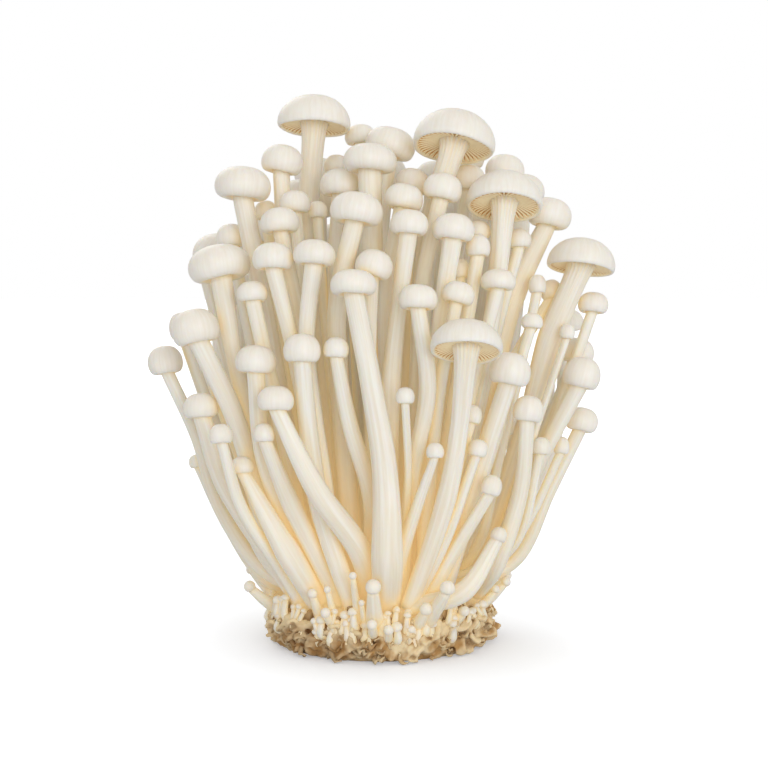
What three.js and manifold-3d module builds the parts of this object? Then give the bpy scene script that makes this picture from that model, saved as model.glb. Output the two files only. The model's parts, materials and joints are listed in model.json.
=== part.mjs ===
// A bunch of enoki mushrooms that stands upright on its own cut mat of mycelium.
// Millimetres, +Z up. The origin is at the middle of the bunch, on the surface that it rests on.
// The mat is one solid with the tiny pins that grow on it. Each mushroom is one solid, stem and cap
// together, and the slimmest ones are fused at the foot to the stouter one that they grow from.

import * as THREE from "three";
import Module from "manifold-3d";

const wasm = await Module();
wasm.setup();

// Driving sizes of the bunch

// The bunch as a rounded dome: [height, half its width, half its depth] through the cap centres
const DOME = [
  [0, 24, 22],
  [20, 33, 30],
  [40, 45, 37],
  [60, 53, 41],
  [85, 56, 40],
  [100, 53, 34],
  [112, 45, 25],
  [122, 36, 15],
  [132, 28, 5],
  [142, 20, 1],
];

// The mat: a shallow dish with a ragged wall, which holds the feet of the stems
const MAT = {
  radius: 27.6,
  footRadius: 25.8,
  innerRadius: 25.6,
  floor: 6.4,
  rim: 9.2,
  bulgeHeight: 6,
  sides: 40,
  raggedness: 1.1,
};

// Pins are rooted this deep in the mat
const PIN_ROOT_REACH = 24.4;
const PIN_ROOT_HEIGHT = 3;

// The feet stand this far clear of the floor of the mat, and neighbours this far clear of each other
const FOOT_GAP = 0.3;
const STEM_GAP = 0.42;
const CAP_GAP = 0.55;

// A cap as shares of its radius and height: the neck stands in a hollow underside inside the rim
const RIM_SHARE = 0.88;
const CLOSED_RIM_SHARE = 0.8;
const NECK_SHARE = 0.14;
const NECK_TO_MIDDLE = 0.5 - NECK_SHARE;

// The gills under an open cap are folds of this depth, two edges to a fold
const GILL_EDGES = 36;
const GILL_DEPTH = 0.8;

// Slivers smaller than this are taken out of a fused solid
const WELD = 0.01;

// A stem has a ring about this often
const NODE_STEP = 20;

// Slim mushrooms leave the stem that they grow from at this height
const JOIN_HEIGHT = 13;
const SHARED_FOOT_HEIGHT = 27;

// How many mushrooms have a foot of their own
const OWN_FEET = 59;
const MOST_GUESTS = 2;

// The settling of the bunch
const SETTLE_PASSES = 420;
const SETTLE_FREE_PASSES = 160;

// The front is measured as it looks from this far away and this much above, at a height in mid bunch
const VIEW_RANGE = 420;
const VIEW_LIFT = THREE.MathUtils.degToRad(4.5);
const VIEW_HEIGHT = 64.5;

const EYE = new THREE.Vector3(
  0,
  -VIEW_RANGE * Math.cos(VIEW_LIFT),
  VIEW_HEIGHT + VIEW_RANGE * Math.sin(VIEW_LIFT),
);

// The front edge of the mat looks this far below the origin from there
const VIEW_FOOT_DROP = 5.45;

const COLOURS = { mushroom: 0xf1ebdf, mat: 0xc4a070 };

// Mushrooms seen from the front, each with
//   cap: across, up, width, height and roll in degrees to the right,
//   stem: points from the cap down, each across, up and width,
//   deep: how far it stands behind the front of the dome,
//   tilt: how many degrees of its underside are in sight, and open: a cap with its gills in sight.
// "up" is measured from the front edge of the mat.
const TILT = { crown: 10, upper: 9, lower: 3 };
const SEEN = {
  crown: [
    { cap: [-16.8, 137.1, 18.5, 11.3, 3], open: true, tilt: 15, deep: 2,
      stem: [[-17, 131, 5.5], [-17.8, 125.8, 4.8], [-18.8, 118, 5], [-18.5, 112, 5], [-17.8, 106.5, 5]] },
    { cap: [16.6, 132.1, 20.8, 14.8, 8], open: true, tilt: 23, deep: -4,
      stem: [[15.5, 125, 5.8], [13.3, 121.3, 5.5], [10.5, 113, 5.2]] },
    { cap: [-6.1, 132.1, 7.8, 5.8, -6], deep: 12, stem: [[-7.8, 128.8, 3], [-8.5, 122, 3]] },
    { cap: [3.1, 130.1, 12.8, 8.8, 15], deep: 3, stem: [[4.2, 125.5, 4.5], [2.5, 122, 5], [0.5, 115.8, 5]] },
    { cap: [-3.4, 126, 13.8, 8.5, 3], deep: -3,
      stem: [[-3.5, 121, 5.8], [-3.5, 113, 5.5], [-2.8, 100.8, 5.5]] },
    { cap: [-25.5, 125.9, 10.5, 8.3, 10], deep: 1, stem: [[-26, 120.8, 4.3], [-26, 114.5, 4.3]] },
    { cap: [30, 123.4, 10, 8, 6], deep: 17, stem: [[29, 119, 4]] },
    { cap: [-11, 120.1, 10.5, 8, 2], deep: 7, stem: [[-12.5, 115.8, 4], [-12.5, 105.8, 4]] },
    { cap: [-11.4, 124.6, 6.5, 5.5, 0], deep: 18, stem: [[-11.8, 121, 2.8]] },
    { cap: [8, 120.4, 9, 7.5, 6], deep: 9, stem: [[7.4, 116, 3.8]] },
    { cap: [15.1, 119, 9.8, 8, 12], deep: -2,
      stem: [[14.3, 114.5, 4.3], [12.8, 110.8, 3.8], [11.3, 105.8, 3.8], [10.3, 100.8, 3.8]] },
    { cap: [21.4, 121.2, 9, 7.5, 4], deep: 9, stem: [[20, 115, 3.5]] },
    { cap: [5.3, 116.5, 10, 7.5, 10], deep: 1, stem: [[4, 112, 4.3], [1.8, 105.8, 4.5]] },
    { cap: [-6.5, 113.6, 13.5, 9.3, 8], deep: -4,
      stem: [[-7.3, 108.3, 4.8], [-9, 100.8, 5], [-10, 98.3, 4.8], [-11.3, 88.3, 4.8]] },
    { cap: [-21.3, 115.2, 8, 6.5, 0], deep: 8, stem: [[-21.3, 111, 3.2]] },
    { cap: [-15.8, 113.4, 5, 5, 0], deep: 12, stem: [[-15.8, 109, 2.6]] },
    { cap: [-29.2, 113.2, 6, 5.5, -4], deep: 14, stem: [[-29, 109, 2.8]] },
  ],
  upper: [
    { cap: [-34.5, 119.8, 14.5, 9.5, 5], deep: 0,
      stem: [[-33.8, 115, 5], [-32.3, 105.8, 4.5], [-30.5, 95.8, 5]] },
    { cap: [30.4, 117.3, 19.8, 14, 3], open: true, tilt: 24, deep: -3,
      stem: [[29.5, 110, 5.5], [29.3, 105.8, 5.5], [28.5, 98.3, 5.5], [29, 90.8, 4]] },
    { cap: [42.9, 112.5, 11.3, 8.5, 12], deep: 0,
      stem: [[41.3, 108.8, 4.5], [39.5, 105.8, 5.5], [37.3, 100.8, 6.3], [35.3, 95.8, 6.5], [34, 90.8, 6.5],
        [33, 85.8, 5.3], [32, 79.5, 5]] },
    { cap: [6.3, 110.1, 10, 7.3, 4], deep: -3,
      stem: [[6.3, 105.8, 4.5], [6, 100.8, 4.5], [5.3, 95.8, 4.5], [4, 90.8, 4.3], [3, 85.8, 4],
        [1.8, 75.8, 5], [1.3, 65.8, 5]] },
    { cap: [17.9, 108.9, 10.8, 7.8, 6], deep: -3,
      stem: [[17.5, 104.5, 5], [16.8, 100.8, 4.8], [16, 95.8, 4.3], [15.3, 90.8, 4.3]] },
    { cap: [-25.8, 110.6, 10, 7.3, -3], deep: 2, stem: [[-24.5, 106.8, 3.8], [-24, 103.8, 3.8]] },
    { cap: [-38, 106.9, 7.5, 6.5, -4], deep: 14, stem: [[-37.4, 103, 3.2]] },
    { cap: [-42.1, 99.9, 15.8, 10.3, -10], deep: -1,
      stem: [[-41, 94.5, 5.5], [-38.8, 90.8, 4], [-37.5, 80.8, 4], [-37, 70.8, 4]] },
    { cap: [-44.5, 98.2, 6, 5, -6], deep: 17, stem: [[-43.5, 94.5, 3], [-42.5, 89, 3]] },
    { cap: [-27.5, 101.6, 10.5, 7.8, 0], deep: 0,
      stem: [[-26.5, 97, 4.5], [-25, 90.8, 4.3], [-23.5, 83.3, 4], [-20.8, 70.8, 4]] },
    { cap: [-17.1, 102.5, 10.8, 7.5, 5], deep: 0,
      stem: [[-17.5, 98.5, 4.5], [-18.5, 90.8, 4.3], [-19.3, 83.3, 4]] },
    { cap: [-1.6, 99.8, 9.8, 8, 15], deep: 3, stem: [[-2.3, 94.5, 3.5], [-2.8, 90.8, 3.3]] },
    { cap: [-7.4, 95, 11.8, 7.5, 0], deep: -3, foot: [2.3, -19.5],
      stem: [[-6.8, 90.8, 5], [-6, 85.8, 4.5], [-3.8, 75.8, 5], [-1.3, 65.8, 6], [0.5, 55.8, 6],
        [2, 45.8, 6.8], [2.8, 35.8, 7.5], [2.3, 25.8, 8], [2, 15.8, 7]] },
    { cap: [49.4, 101.8, 17.3, 10, 8], open: true, tilt: 12, deep: 0,
      stem: [[48, 96.8, 5.5], [45.5, 90.8, 6.5], [43.3, 85.8, 6.8], [41.3, 80.8, 6.5], [39.3, 75.8, 5.5],
        [38.3, 69.5, 5]] },
    { cap: [9.5, 91.4, 10, 7.3, 2], deep: -1,
      stem: [[9.3, 87, 4], [10, 80.8, 4.5], [11.3, 75.8, 4.8], [11.8, 65.8, 4.5], [10.8, 55.8, 4],
        [9.3, 50.8, 3.8], [6.8, 43.3, 3.8]] },
    { cap: [18.8, 92.5, 8.5, 6.5, 15], deep: 2, stem: [[17.5, 89.2, 3.3], [16.5, 86.3, 3.3]] },
    { cap: [27.8, 95.8, 9, 6, 3], deep: 4, stem: [[26.5, 92, 3.5], [25.8, 85.8, 3]] },
    { cap: [34.1, 106.1, 6, 5.3, 0], deep: 9, stem: [[32.8, 102.5, 3], [32.3, 98.3, 3]] },
    { cap: [23.8, 108.2, 6.5, 5.3, 0], deep: 9, stem: [[23.6, 105, 2.8]] },
    { cap: [23.6, 104.4, 6.3, 6.3, 0], deep: 3, stem: [[23.5, 100.3, 3.5]] },
    { cap: [20.6, 98.6, 5, 5.4, 0], deep: 8, stem: [[20.6, 95.4, 2.6]] },
    { cap: [-32.8, 92.8, 8, 6, -3], deep: 3,
      stem: [[-32.3, 89.3, 4], [-31.3, 84.5, 3.8], [-30.3, 80.3, 3.8]] },
    { cap: [50.9, 90, 7.8, 6, 5], deep: 3, stem: [[49.3, 86.4, 2.8], [48.3, 80.8, 2.8]] },
    { cap: [42.1, 93.4, 5.8, 5.3, -20], deep: 14, stem: [[40.8, 90.2, 2.8], [36.8, 86.3, 2.8]] },
    { cap: [38.4, 94.8, 4.6, 5.2, 0], deep: 12, stem: [[38, 91, 2.6]] },
    { cap: [37.3, 85.5, 5.5, 4.5, 4], deep: 2, stem: [[36.8, 82.6, 2.5], [35.8, 78.3, 2.8]] },
    { cap: [46.1, 82.9, 4, 4.3, 6], deep: 3, stem: [[45, 80, 2]] },
  ],
  lower: [
    { cap: [-51.1, 84.4, 6.8, 6.8, -8], deep: 9,
      stem: [[-49, 79.5, 3], [-47.8, 75.3, 3.3], [-46.3, 70.8, 3.8]] },
    { cap: [-45, 84.3, 12, 9, -12], deep: 0,
      stem: [[-43, 80.2, 5], [-40.3, 75.3, 5.5], [-38.3, 70.3, 5.5], [-37, 65.8, 5], [-35.8, 58.3, 5]] },
    { cap: [-44.6, 75.2, 3, 4, -4], deep: 7, stem: [[-44, 72.5, 2]] },
    { cap: [-53.4, 75.9, 8.8, 7.3, -8], deep: 0,
      stem: [[-50.5, 71.3, 3.3], [-48.5, 65.8, 3.3], [-46.5, 59.5, 3.3], [-43.4, 48, 3.4], [-39, 36, 3.6],
        [-32.5, 25, 3.8]] },
    { cap: [-31.5, 75.9, 10.5, 7.3, 3], deep: 0,
      stem: [[-31.8, 71.5, 4.5], [-32.8, 65.8, 4.8], [-33, 60.8, 4.3], [-32.3, 54.5, 4.3], [-30.3, 48.3, 4.5],
        [-27, 40.8, 5]] },
    { cap: [-19.8, 78.8, 9.5, 7.5, 0], deep: 0,
      stem: [[-19, 74.5, 4.3], [-18.8, 65.8, 4.5], [-18, 55.8, 4.8], [-16.8, 45.8, 5.3],
        [-14.5, 35.8, 5.3]] },
    { cap: [-12.3, 78.9, 6.5, 5.3, 3], deep: 2,
      stem: [[-12.8, 75.8, 3.3], [-10.8, 65.8, 3.8], [-9.5, 60.8, 4], [-7.8, 55.8, 4.3], [-6, 50.8, 5],
        [-4.5, 45.8, 4.5], [-3.8, 40.8, 4.8], [-3.8, 30.8, 4]] },
    { cap: [19.8, 81, 18.5, 12, 3], open: true, tilt: 20, deep: -3, foot: [5, -21.5],
      stem: [[19.5, 75, 5.5], [18.8, 65.8, 4.8], [18.3, 55.8, 4.5], [16.8, 45.8, 4.8], [14.5, 35.8, 5.5],
        [12.8, 30.8, 5.5], [10.3, 25.8, 6.3], [7.5, 20.8, 5.8], [5.5, 16.5, 4.3]] },
    { cap: [31.9, 73.5, 10.8, 8.5, 10], deep: -1, foot: [18, -13],
      stem: [[30.8, 69, 4.5], [29.8, 65.8, 5], [28.5, 60.8, 5], [27.5, 55.8, 4.8], [26, 45.8, 4.8],
        [25, 40.8, 4.3], [22.3, 25.8, 4.3]] },
    { cap: [48.8, 78, 9, 6.5, 8], deep: 9, stem: [[47.5, 74, 3.6]] },
    { cap: [49.5, 72.8, 9.5, 8, 14], deep: 0,
      stem: [[47.3, 69.4, 4.5], [44.3, 65.8, 4.8], [42, 60.8, 4.3], [40, 55.8, 3.8], [38.5, 50.8, 3.8]] },
    { cap: [-45.1, 64.3, 8.8, 6.5, -4], deep: 0, foot: [-19.5, -9],
      stem: [[-44, 60.3, 4.3], [-42.5, 55.8, 4.3], [-41, 50.8, 4.5], [-39.3, 45.8, 5], [-37.3, 40.8, 5.3],
        [-34.5, 35.8, 5], [-31.3, 29.5, 4.5], [-25.8, 22, 4.5]] },
    { cap: [-26.6, 66.3, 9.3, 6.5, 0], deep: 0, foot: [-6.5, -20],
      stem: [[-26.5, 62.5, 4], [-24.3, 55.8, 3.8], [-22, 50.8, 4.8], [-19.3, 45.8, 5.5], [-16.3, 40.8, 6],
        [-12.5, 35.8, 6.5], [-9.3, 30.8, 6.5], [-7.3, 25.8, 6], [-6.8, 20.8, 6], [-7.3, 16, 5]] },
    { cap: [-38.3, 58.3, 6, 5, -3], deep: 1, stem: [[-37.8, 55, 2.8], [-36.3, 52, 3], [-33.3, 43.3, 3]] },
    { cap: [-29.8, 57.9, 5.5, 4.8, -4], deep: 0, foot: [-12, -17.5],
      stem: [[-29, 54.8, 3.3], [-27.8, 50.8, 3.8], [-25.5, 45.8, 4.5], [-23.5, 40.8, 5], [-21.3, 35.8, 5],
        [-19, 30.8, 5], [-16.3, 25.8, 6], [-13.3, 20.8, 6], [-11, 15, 5]] },
    { cap: [5.6, 66.9, 4.8, 4.3, 0], deep: 2, stem: [[5.8, 64, 2], [5.5, 55.8, 2.3], [6.3, 49.5, 2]] },
    { cap: [23.1, 62.1, 4.8, 4.8, 10], deep: 3, stem: [[22, 58.8, 2.3], [21, 55.8, 2.3]] },
    { cap: [36.4, 63.6, 7.8, 6.8, 8], deep: -1, foot: [20.5, -9],
      stem: [[36.1, 59.8, 3.8], [35.5, 55.8, 3.8], [35, 50.8, 4], [33.3, 40.8, 4], [31.3, 35.8, 4.3],
        [29.5, 30.8, 4.5], [25.5, 20.8, 4.5]] },
    { cap: [48.9, 60.6, 8.3, 6.3, 12], deep: 0, foot: [22.5, -4],
      stem: [[47.8, 57.6, 3.5], [44.3, 50.8, 3.8], [42.3, 45.8, 3.8], [40, 40.8, 3.3], [38.3, 35.8, 3.3],
        [33, 25.8, 3.3], [27.3, 16.5, 3.3]] },
    { cap: [13.5, 53.3, 4.5, 4, 0], deep: 0,
      stem: [[13.5, 50.5, 2], [12.5, 45.8, 2.5], [11, 40.8, 3.5], [9.3, 35.8, 3.8], [5.5, 25.8, 3.8]] },
    { cap: [23, 54, 5, 4.5, 12], deep: 2, stem: [[21.3, 50.4, 2.5], [19.5, 45.8, 3], [18, 40.8, 3]] },
    { cap: [39.5, 54.3, 5, 4.5, 5], deep: 2,
      stem: [[39, 51.3, 2.3], [38.3, 45.8, 2.3], [37.3, 40.8, 2.3], [36.3, 35.8, 2.3]] },
    { cap: [42.8, 54.3, 4, 4.5, 5], deep: 6, stem: [[42.4, 51, 2.2]] },
    { cap: [-35.3, 49.5, 6, 4.5, -3], deep: -1, foot: [-15.5, -14],
      stem: [[-35, 46.6, 3], [-32.5, 40.8, 4.3], [-29.8, 35.8, 4.5], [-26.5, 30.8, 6], [-22, 25.8, 6.6],
        [-18, 20.5, 6.2]] },
    { cap: [24.9, 44.6, 5.3, 5.3, 15], deep: -1,
      stem: [[23.8, 41, 2.8], [20.8, 35.8, 3], [18, 30.8, 3.3], [15.5, 25.8, 3.5], [13, 18, 3.5]] },
    { cap: [-46.5, 50.4, 4, 3.5, -8], deep: 1,
      stem: [[-45.8, 48.3, 2], [-42.5, 40.8, 2.5], [-40.3, 35.8, 3.3], [-34.5, 25.8, 3.3],
        [-28.8, 19.5, 3.2]] },
    { cap: [28.9, 32.6, 4.3, 3.8, 18], deep: -3, foot: [11, -20.5],
      stem: [[28.5, 29.5, 3.3], [26.5, 25.8, 4.3], [23, 20.8, 5], [18, 17.2, 5], [14.3, 15.2, 4.5]] },
  ],
};

// Pins on the mat, seen from the front: head across, up and width, then the root across and up
const SEEN_PINS = [
  { head: [-31.8, 31.2, 3], root: [-25.5, 14] },
  { head: [-31.2, 20.3, 3], root: [-26, 12] },
  { head: [31.3, 21.3, 2.5], root: [26, 12] },
  { head: [26.2, 19.3, 2.2], root: [24, 10] },
  { head: [15.8, 21.3, 3.6], root: [11, 9] },
  { head: [11.2, 14.3, 3.2], root: [9, 6] },
  { head: [20.5, 13.5, 2.6], root: [17.5, 6] },
  { head: [-1.8, 21, 3.8], root: [-3, 8] },
  { head: [-7.5, 24.3, 1.9], root: [-5.5, 12] },
  { head: [-14.3, 19.8, 1.8], root: [-10.5, 10] },
  { head: [-17.8, 18.5, 2.5], root: [-15, 11] },
  { head: [-14.3, 13.3, 2.5], root: [-12, 7] },
  { head: [-4.3, 16.3, 1.6], root: [-4, 10] },
  { head: [-2.8, 10.4, 2.5], root: [-1.5, 4] },
  { head: [1.3, 8.6, 2.5], root: [2.5, 4] },
];

// The far side carries this many mushrooms and pins, set by a seeded rule
const FAR_SEED = 20;
const FAR_MUSHROOMS = 36;
const FAR_OPEN = [3, 9];
const FAR_PINS = 12;

// From the front the far side stays out of sight: it is drawn in as if it were this much higher up
const FAR_SETBACK = 14;

/** A repeatable random number from 0 to 1 at each call. */
function seededRandom(seed) {
  let state = seed;
  return () => {
    state = (state + 0x6d2b79f5) | 0;
    let mix = Math.imul(state ^ (state >>> 15), 1 | state);
    mix = (mix + Math.imul(mix ^ (mix >>> 7), 61 | mix)) ^ mix;
    return ((mix ^ (mix >>> 14)) >>> 0) / 4294967296;
  };
}

/** Half the width or half the depth of the dome at a height: column 1 or 2 of DOME. */
function domeAt(height, column) {
  const last = DOME[DOME.length - 1];
  if (height >= last[0]) {
    return last[column];
  }
  const above = Math.max(1, DOME.findIndex((row) => row[0] > height));
  const low = DOME[above - 1];
  const high = DOME[above];
  const share = (height - low[0]) / (high[0] - low[0]);
  return THREE.MathUtils.lerp(low[column], high[column], share);
}

/** The place, at a given depth, of a point measured across and up on the front view, with its scale. */
function placeFromView(across, up, depth) {
  const rise = up - VIEW_FOOT_DROP - VIEW_HEIGHT * Math.cos(VIEW_LIFT);
  const seen = new THREE.Vector3(
    across,
    rise * Math.sin(VIEW_LIFT),
    VIEW_HEIGHT + rise * Math.cos(VIEW_LIFT),
  );
  const scale = (depth - EYE.y) / (seen.y - EYE.y);
  return { point: seen.sub(EYE).multiplyScalar(scale).add(EYE), scale };
}

/** The depth of the front of the dome at a place on the front view. */
function frontDepth(across, up) {
  const height = placeFromView(across, up, 0).point.z;
  const side = Math.min(1, Math.abs(across) / domeAt(height, 1));
  return -domeAt(height, 2) * Math.sqrt(1 - side * side);
}

/** A stem laid through points from the foot to the neck, resampled at even steps. */
function layStem(points, widths) {
  const curve = new THREE.CatmullRomCurve3(points, false, "centripetal");
  const length = curve.getLength();
  const count = THREE.MathUtils.clamp(Math.round(length / NODE_STEP) + 1, 3, 6);
  const nodes = curve.getSpacedPoints(count - 1);
  const radii = nodes.map((node) => {
    let above = points.findIndex((point) => point.z > node.z);
    above = above < 0 ? points.length - 1 : Math.max(1, above);
    const share = (node.z - points[above - 1].z) / (points[above].z - points[above - 1].z);
    return THREE.MathUtils.lerp(widths[above - 1], widths[above], THREE.MathUtils.clamp(share, 0, 1)) / 2;
  });
  return { nodes, radii };
}

/** A mushroom from its measures on the front view. */
function seenMushroom(name, usualTilt, { cap, stem, deep, tilt = usualTilt, open = false, foot }) {
  const [across, up, width, height, roll] = cap;
  const capDepth = frontDepth(across, up) + deep;
  const underside = THREE.MathUtils.degToRad(tilt);
  const shownUnderside = RIM_SHARE * (width / 2) * Math.sin(underside);
  const dome = (height - shownUnderside) * (1 - 0.35 * Math.sin(underside));
  const middle = up - height / 2 + shownUnderside + (dome / 2) * Math.cos(underside);
  const centre = placeFromView(across, middle, capDepth);
  const lean = THREE.MathUtils.degToRad(roll);
  const nod = underside + Math.atan2(EYE.z - centre.point.z, centre.point.y - EYE.y);
  const axis = new THREE.Vector3(Math.sin(lean), Math.sin(nod), Math.cos(nod)).normalize();
  const capHeight = dome * centre.scale;
  const lowest = stem[stem.length - 1];
  const rooted = foot ?? [lowest[0] * 0.5, capDepth * 0.5];
  const footWidth = foot ? lowest[2] * 0.8 : Math.min(lowest[2] * 0.85, 4);
  const neck = centre.point.clone().addScaledVector(axis, -capHeight * NECK_TO_MIDDLE);
  const footPoint = new THREE.Vector3(rooted[0], rooted[1], MAT.floor + FOOT_GAP);
  const points = [footPoint];
  const widths = [footWidth];
  for (const [x, rise, wide] of [...stem].reverse()) {
    const share = THREE.MathUtils.clamp((rise - VIEW_FOOT_DROP) / (up - VIEW_FOOT_DROP), 0, 1);
    const depth = THREE.MathUtils.lerp(rooted[1], capDepth, share ** 0.8);
    const place = placeFromView(x, rise, depth);
    const below = points[points.length - 1];
    if (place.point.z > below.z + 3 && place.point.z < neck.z - 2) {
      points.push(place.point);
      widths.push(wide * place.scale);
    }
  }
  points.push(neck);
  widths.push(stem[0][2] * centre.scale);
  const { nodes, radii } = layStem(points, widths);
  return {
    name, nodes, radii, axis, open,
    capRadius: (width * centre.scale) / 2,
    capHeight,
    freedom: [0.14, 1],
  };
}

/** The mushrooms of the far side: caps spread evenly over the dome, stems fanned from the mat. */
function farMushrooms() {
  const random = seededRandom(FAR_SEED);
  const turn = Math.PI * (3 - Math.sqrt(5));
  const mushrooms = [];
  for (let index = 0; index < FAR_MUSHROOMS; index += 1) {
    const share = (index + 0.5) / FAR_MUSHROOMS;
    const height = 121 - 76 * share ** 1.15 + 4 * (random() - 0.5);
    const along = (index * turn) / Math.PI;
    const bearing = 0.1 + (Math.PI - 0.2) * (along - Math.floor(along));
    const inset = index % 3 === 2 ? 0.55 : 0.98;
    const halfWidth = Math.min(domeAt(height, 1) - 3, domeAt(height + FAR_SETBACK, 1));
    const place = new THREE.Vector3(
      Math.cos(bearing) * halfWidth * (0.4 + 0.53 * inset),
      Math.sin(bearing) * domeAt(height, 2) * inset + 5,
      height,
    );
    const big = random();
    const width = height > 80 ? 8.5 + 8 * big : 5.5 + 5.5 * big;
    const capHeight = width * (0.66 - 0.08 * big);
    const axis = new THREE.Vector3(-place.x * 0.003, -place.y * 0.005, 1).normalize();
    const neck = place.clone().addScaledVector(axis, -capHeight * NECK_TO_MIDDLE);
    const wide = Math.min(6, 1.4 + width * 0.3);
    const foot = new THREE.Vector3(place.x * 0.4, place.y * 0.5, MAT.floor + FOOT_GAP);
    const bow = 0.86 + 0.08 * random();
    const points = [foot, ...[0.3, 0.65].map((step) => {
      const point = foot.clone().lerp(neck, step);
      const spread = 1 + (1 - step) * step * bow;
      return new THREE.Vector3(point.x * spread, point.y * spread, point.z);
    }), neck];
    const widths = [wide * 0.9, wide * 1.1, wide * 0.95, wide];
    const { nodes, radii } = layStem(points, widths);
    mushrooms.push({
      name: `mushroom_back_${String(index + 1).padStart(2, "0")}`,
      nodes, radii, axis, capHeight,
      open: FAR_OPEN.includes(index),
      capRadius: width / 2,
      freedom: [1, 1],
    });
  }
  return mushrooms;
}

/** A pin: a tiny mushroom with a round head, rooted in the wall of the mat. */
function pin(head, headWidth, root) {
  const nodes = [root, head.clone().lerp(root, 0.12)];
  const axis = head.clone().sub(root).normalize();
  return {
    nodes, radii: [headWidth * 0.4, headWidth * 0.32], axis, open: false,
    capRadius: headWidth / 2, capHeight: headWidth * 0.85, freedom: [0.3, 1], isPin: true,
  };
}

/** All pins: those measured on the front view, then a seeded row round the far side. */
function allPins() {
  const pins = SEEN_PINS.map(({ head, root }) => {
    const side = THREE.MathUtils.clamp(root[0], -PIN_ROOT_REACH, PIN_ROOT_REACH);
    const rootDepth = -Math.sqrt(PIN_ROOT_REACH ** 2 - side * side);
    const headDepth = Math.min(rootDepth * 1.2 - 2, -4);
    const rootPoint = new THREE.Vector3(side, rootDepth, PIN_ROOT_HEIGHT);
    return pin(placeFromView(head[0], head[1], headDepth).point, head[2], rootPoint);
  });
  const random = seededRandom(FAR_SEED + 1);
  for (let index = 0; index < FAR_PINS; index += 1) {
    const bearing = Math.PI * ((index + 0.5 + 0.5 * (random() - 0.5)) / FAR_PINS);
    const out = new THREE.Vector3(Math.cos(bearing), Math.sin(bearing), 0);
    const root = out.clone().multiplyScalar(PIN_ROOT_REACH).setZ(PIN_ROOT_HEIGHT);
    const rise = 6 + 9 * random();
    const head = out.clone().multiplyScalar(MAT.radius + 1.5 + rise * 0.35).setZ(MAT.floor + rise);
    pins.push(pin(head, 1.9 + 1.5 * random(), root));
  }
  return pins;
}

/** The middle of the solid part of a cap. */
function capCentre(mushroom) {
  const neck = mushroom.nodes[mushroom.nodes.length - 1];
  return neck.clone().addScaledVector(mushroom.axis, mushroom.capHeight * NECK_TO_MIDDLE);
}

/** How far a cap reaches from its centre in a direction. */
function capReach(mushroom, direction) {
  const along = direction.dot(mushroom.axis);
  const across = Math.sqrt(Math.max(0, 1 - along * along));
  const half = mushroom.capHeight * 0.54;
  return Math.hypot(mushroom.capRadius * across, half * along);
}

/** The shares along two segments at which they come closest to each other. */
function closestShares(a0, a1, b0, b1) {
  const u = new THREE.Vector3().subVectors(a1, a0);
  const v = new THREE.Vector3().subVectors(b1, b0);
  const w = new THREE.Vector3().subVectors(a0, b0);
  const uu = u.dot(u);
  const uv = u.dot(v);
  const vv = v.dot(v);
  const uw = u.dot(w);
  const vw = v.dot(w);
  const span = uu * vv - uv * uv;
  let s = span > 1e-9 ? THREE.MathUtils.clamp((uv * vw - vv * uw) / span, 0, 1) : 0.5;
  let t = (uv * s + vw) / vv;
  t = THREE.MathUtils.clamp(t, 0, 1);
  s = THREE.MathUtils.clamp((uv * t - uw) / uu, 0, 1);
  return [s, t];
}

/** Moves two stretches of stem, or caps, apart along the line between them. */
function pushApart(first, firstShares, second, secondShares, direction, overlap) {
  const weigh = (mushroom, shares) => {
    const [x, y] = mushroom.freedom;
    const spread = shares.reduce((sum, [, share]) => sum + share * share, 0);
    return spread * (x * direction.x * direction.x + y * direction.y * direction.y);
  };
  const total = weigh(first, firstShares) + weigh(second, secondShares);
  if (total < 1e-6) {
    return;
  }
  const push = Math.min(overlap / total, overlap * 6);
  for (const [mushroom, shares, sign] of [[first, firstShares, 1], [second, secondShares, -1]]) {
    for (const [index, share] of shares) {
      const node = mushroom.nodes[index];
      node.x += sign * push * share * mushroom.freedom[0] * direction.x;
      node.y += sign * push * share * mushroom.freedom[1] * direction.y;
    }
  }
}

/** Parts two stems where they are too close. */
function partStems(first, second) {
  const sameFoot = first.rootedIn === second || second.rootedIn === first
    || (first.rootedIn && first.rootedIn === second.rootedIn) || (first.isPin && second.isPin);
  for (let i = 0; i + 1 < first.nodes.length; i += 1) {
    for (let j = 0; j + 1 < second.nodes.length; j += 1) {
      const [a0, a1] = [first.nodes[i], first.nodes[i + 1]];
      const [b0, b1] = [second.nodes[j], second.nodes[j + 1]];
      const reach = Math.max(first.radii[i], first.radii[i + 1])
        + Math.max(second.radii[j], second.radii[j + 1]) + STEM_GAP;
      if (a0.z > b1.z + reach || b0.z > a1.z + reach) {
        continue;
      }
      const [s, t] = closestShares(a0, a1, b0, b1);
      const place = a0.clone().lerp(a1, s);
      const between = place.clone().sub(b0.clone().lerp(b1, t));
      if (sameFoot && place.z < SHARED_FOOT_HEIGHT) {
        continue;
      }
      const distance = between.length();
      const needed = THREE.MathUtils.lerp(first.radii[i], first.radii[i + 1], s)
        + THREE.MathUtils.lerp(second.radii[j], second.radii[j + 1], t) + STEM_GAP;
      if (distance < needed) {
        const direction = distance > 1e-4 ? between.divideScalar(distance) : new THREE.Vector3(0, 1, 0);
        const firstShares = [[i, 1 - s], [i + 1, s]];
        const secondShares = [[j, 1 - t], [j + 1, t]];
        pushApart(first, firstShares, second, secondShares, direction, needed - distance);
      }
    }
  }
}

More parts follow.
